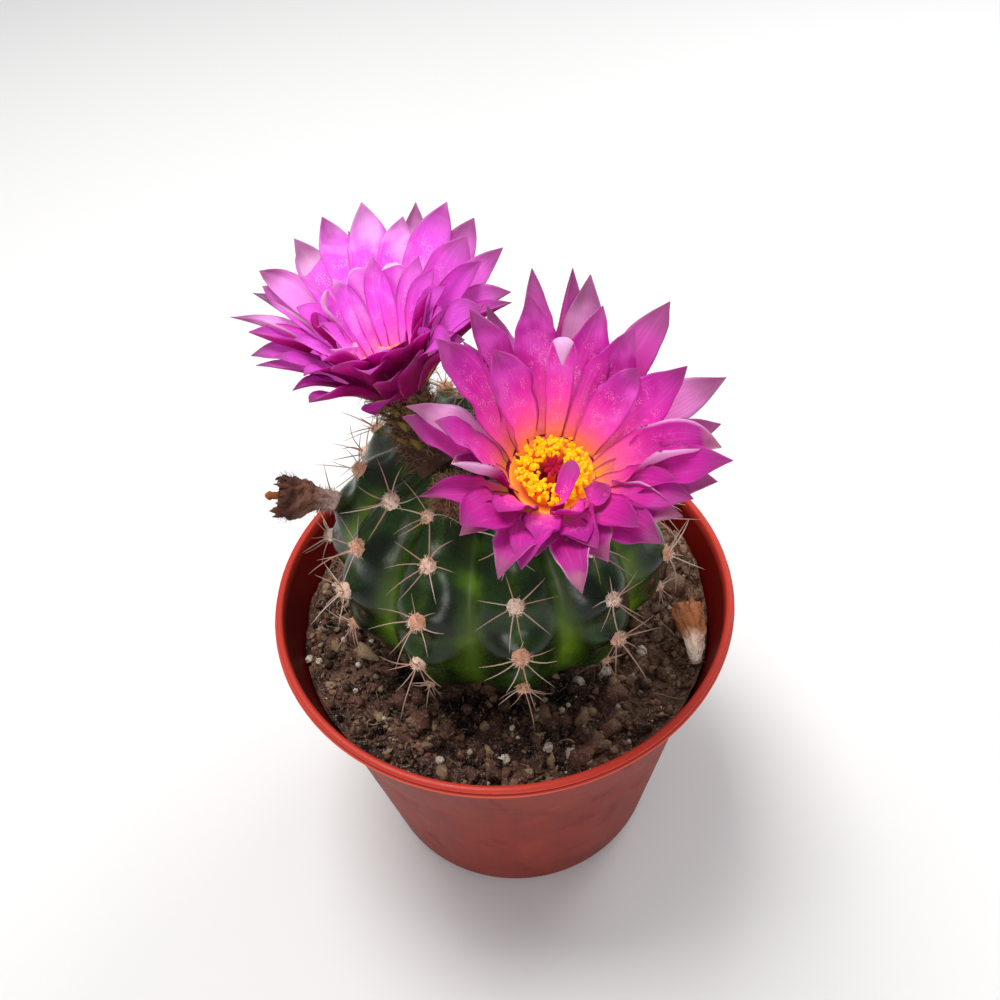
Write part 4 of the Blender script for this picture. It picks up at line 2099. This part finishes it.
LEFT_BLOOM = Bloom(
    side="left",
    seed=11,
    root=(-8, -2.0, 97.6),
    throat=(-14.5, 6.5, 112.5),
    tilt=(-8, -2),
    cup_depth=8.0,
    rows=(
        PetalRow(7.0, -2.8, 0.6, (
            (22, 26, 30, 0.6), (51, 25.6, 28, 0.2), (78, 25.2, 30), (95, 23.3, 29), (108, 25, 28.5),
            (126, 19, 28), (150, 16.5, 32), (172, 16.5, 30), (-172, 13, 4), (-150, 20.5, 24),
            (-130, 17.5, 24), (-108, 20.3, 24), (-93, 20.7, 26), (-76, 24.8, 27, 0.5), (-58, 24.3, 23, 0.8),
            (-51, 26, 29, 0.4), (-32, 25.7, 28, 0.9), (-8, 23, 29, 0.3))),
        PetalRow(7.2, -1.6, 0.66, (
            (-18, 25.8, 32), (0, 26, 33), (37.5, 26, 34), (60, 22.4, 32), (84, 22, 36), (112, 21, 33),
            (136, 19, 35), (158, 18, 42), (-179, 17, 38), (-159, 17, 38), (-138, 18, 36), (-116, 18.5, 30),
            (-86, 21.4, 27), (-56, 23.4, 24), (-35, 25, 28), (17, 23, 36))),
        PetalRow(6.4, -0.6, 0.7, (
            (-68, 16, 40), (84, 15.5, 44), (106, 15, 42), (128, 15, 39), (152, 15, 47), (172, 14, 42),
            (-168, 13.5, 40), (-146, 15, 42), (-124, 14, 38), (-100, 15, 36), (-78, 15.5, 40))),
        PetalRow(6.2, -2.4, 0.62, (
            (-84, 12, 48), (-54, 17, 42, -1), (-34, 15, 47), (-13.5, 18.4, 43, -1), (5, 16.5, 47),
            (23, 18.6, 44, -1), (44, 16.5, 47), (64, 16, 48), (86, 13.5, 48), (110, 11.5, 46)), 4.3),
    ),
    curled=((-150, 3.4, 5.0, 4.6, 6.4, 7.6, -4.6), (-118, 4.4, 6.4, 4.4, 7.4, 8.2, -3.0)),
    silk=LEFT_SILK,
    folds={
        (3, 23): (0.5, 0.4, 2.1), (3, -13.5): (0.7, 0.4, 1.8), (3, -54): (1.2, 0.3, 1.6),
        (3, 5): (0.3, 0.8, 0.5), (1, 84): (1.4, 0.2, 0.0), (2, -78): (1.4, 1.0, 1.7),
        (1, -18): (0.2, 0.8, 0.3),
    },
    stamen_drop=3.2,
    lightest=0.0,
    contrast=0.5,
    narrow=2.4,
    wave=0.08,
    ragged=0.04,
    curl_pale=-1.0,
)

WITHERED = DriedFlower(
    kind=Dried.WITHERED,
    path=((-25.8, 4.3, 84.2), (-29.2, 4.3, 85.2), (-31, 4.4, 85.7), (-33, 4.5, 86.0), (-35, 4.7, 86.2),
          (-37, 4.9, 86.4)),
    radii=(1.6, 1.7, 2.0, 3.2, 3.5, 3.1),
    seed=21.0,
    skin=Husk(
        "withered_skin", tint(206, 176, 168), tint(132, 90, 72), tint(74, 40, 31), tint(48, 25, 22), 0.4,
        (0.45, 0.85),
    ),
    stub=Husk("withered_stub", tint(70, 34, 18), tint(136, 74, 30), tint(158, 88, 34), tint(66, 32, 16), 0.4),
    shred_skin=Husk(
        "withered_petal", tint(76, 40, 31), tint(92, 52, 38), tint(116, 72, 51), tint(42, 22, 19), 0.3
    ),
    fibre=Fibre("withered_fuzz", tint(92, 62, 52), tint(74, 48, 38), tint(226, 196, 184)),
    shreds=34,
    fuzz=760,
)

FALLEN = DriedFlower(
    kind=Dried.FALLEN,
    path=((33.6, -16.4, 55.9), (33.8, -14, 56.6), (34, -11.4, 57.4), (33.9, -8.2, 58), (33.6, -5.4, 58.4)),
    radii=(0.8, 1.5, 1.8, 2.8, 2.7),
    seed=31.0,
    skin=Husk(
        "fallen_skin", tint(255, 238, 220), tint(246, 214, 190), tint(166, 102, 64), tint(124, 74, 48), 0.4,
        (0.34, 0.62), 0.3, 0.12,
    ),
    shred_skin=Husk(
        "fallen_petal", tint(176, 118, 80), tint(184, 122, 82), tint(140, 84, 56), tint(104, 62, 44), 0.3
    ),
    fibre=Fibre("fallen_fuzz", tint(150, 112, 86), tint(120, 84, 62), tint(206, 176, 150)),
    bristles=60,
    fuzz=260,
)


def build_cactus() -> None:
    """Builds camera, pot, soil, body, blooms, bud and dried flowers in order."""
    logging.basicConfig(level=logging.INFO, format="%(name)s %(message)s")
    studio = Studio()
    studio.camera()
    pot, body = Pot(), CactusBody()
    blooms = [RIGHT_BLOOM, LEFT_BLOOM]
    pot.build()
    SoilBed(pot, body).build()
    body.build(blooms)
    for bloom in blooms:
        bloom.build()
    WoollyBud().build()
    for flower in (WITHERED, FALLEN):
        flower.build()
    studio.build()


if __name__ == "__main__":
    build_cactus()
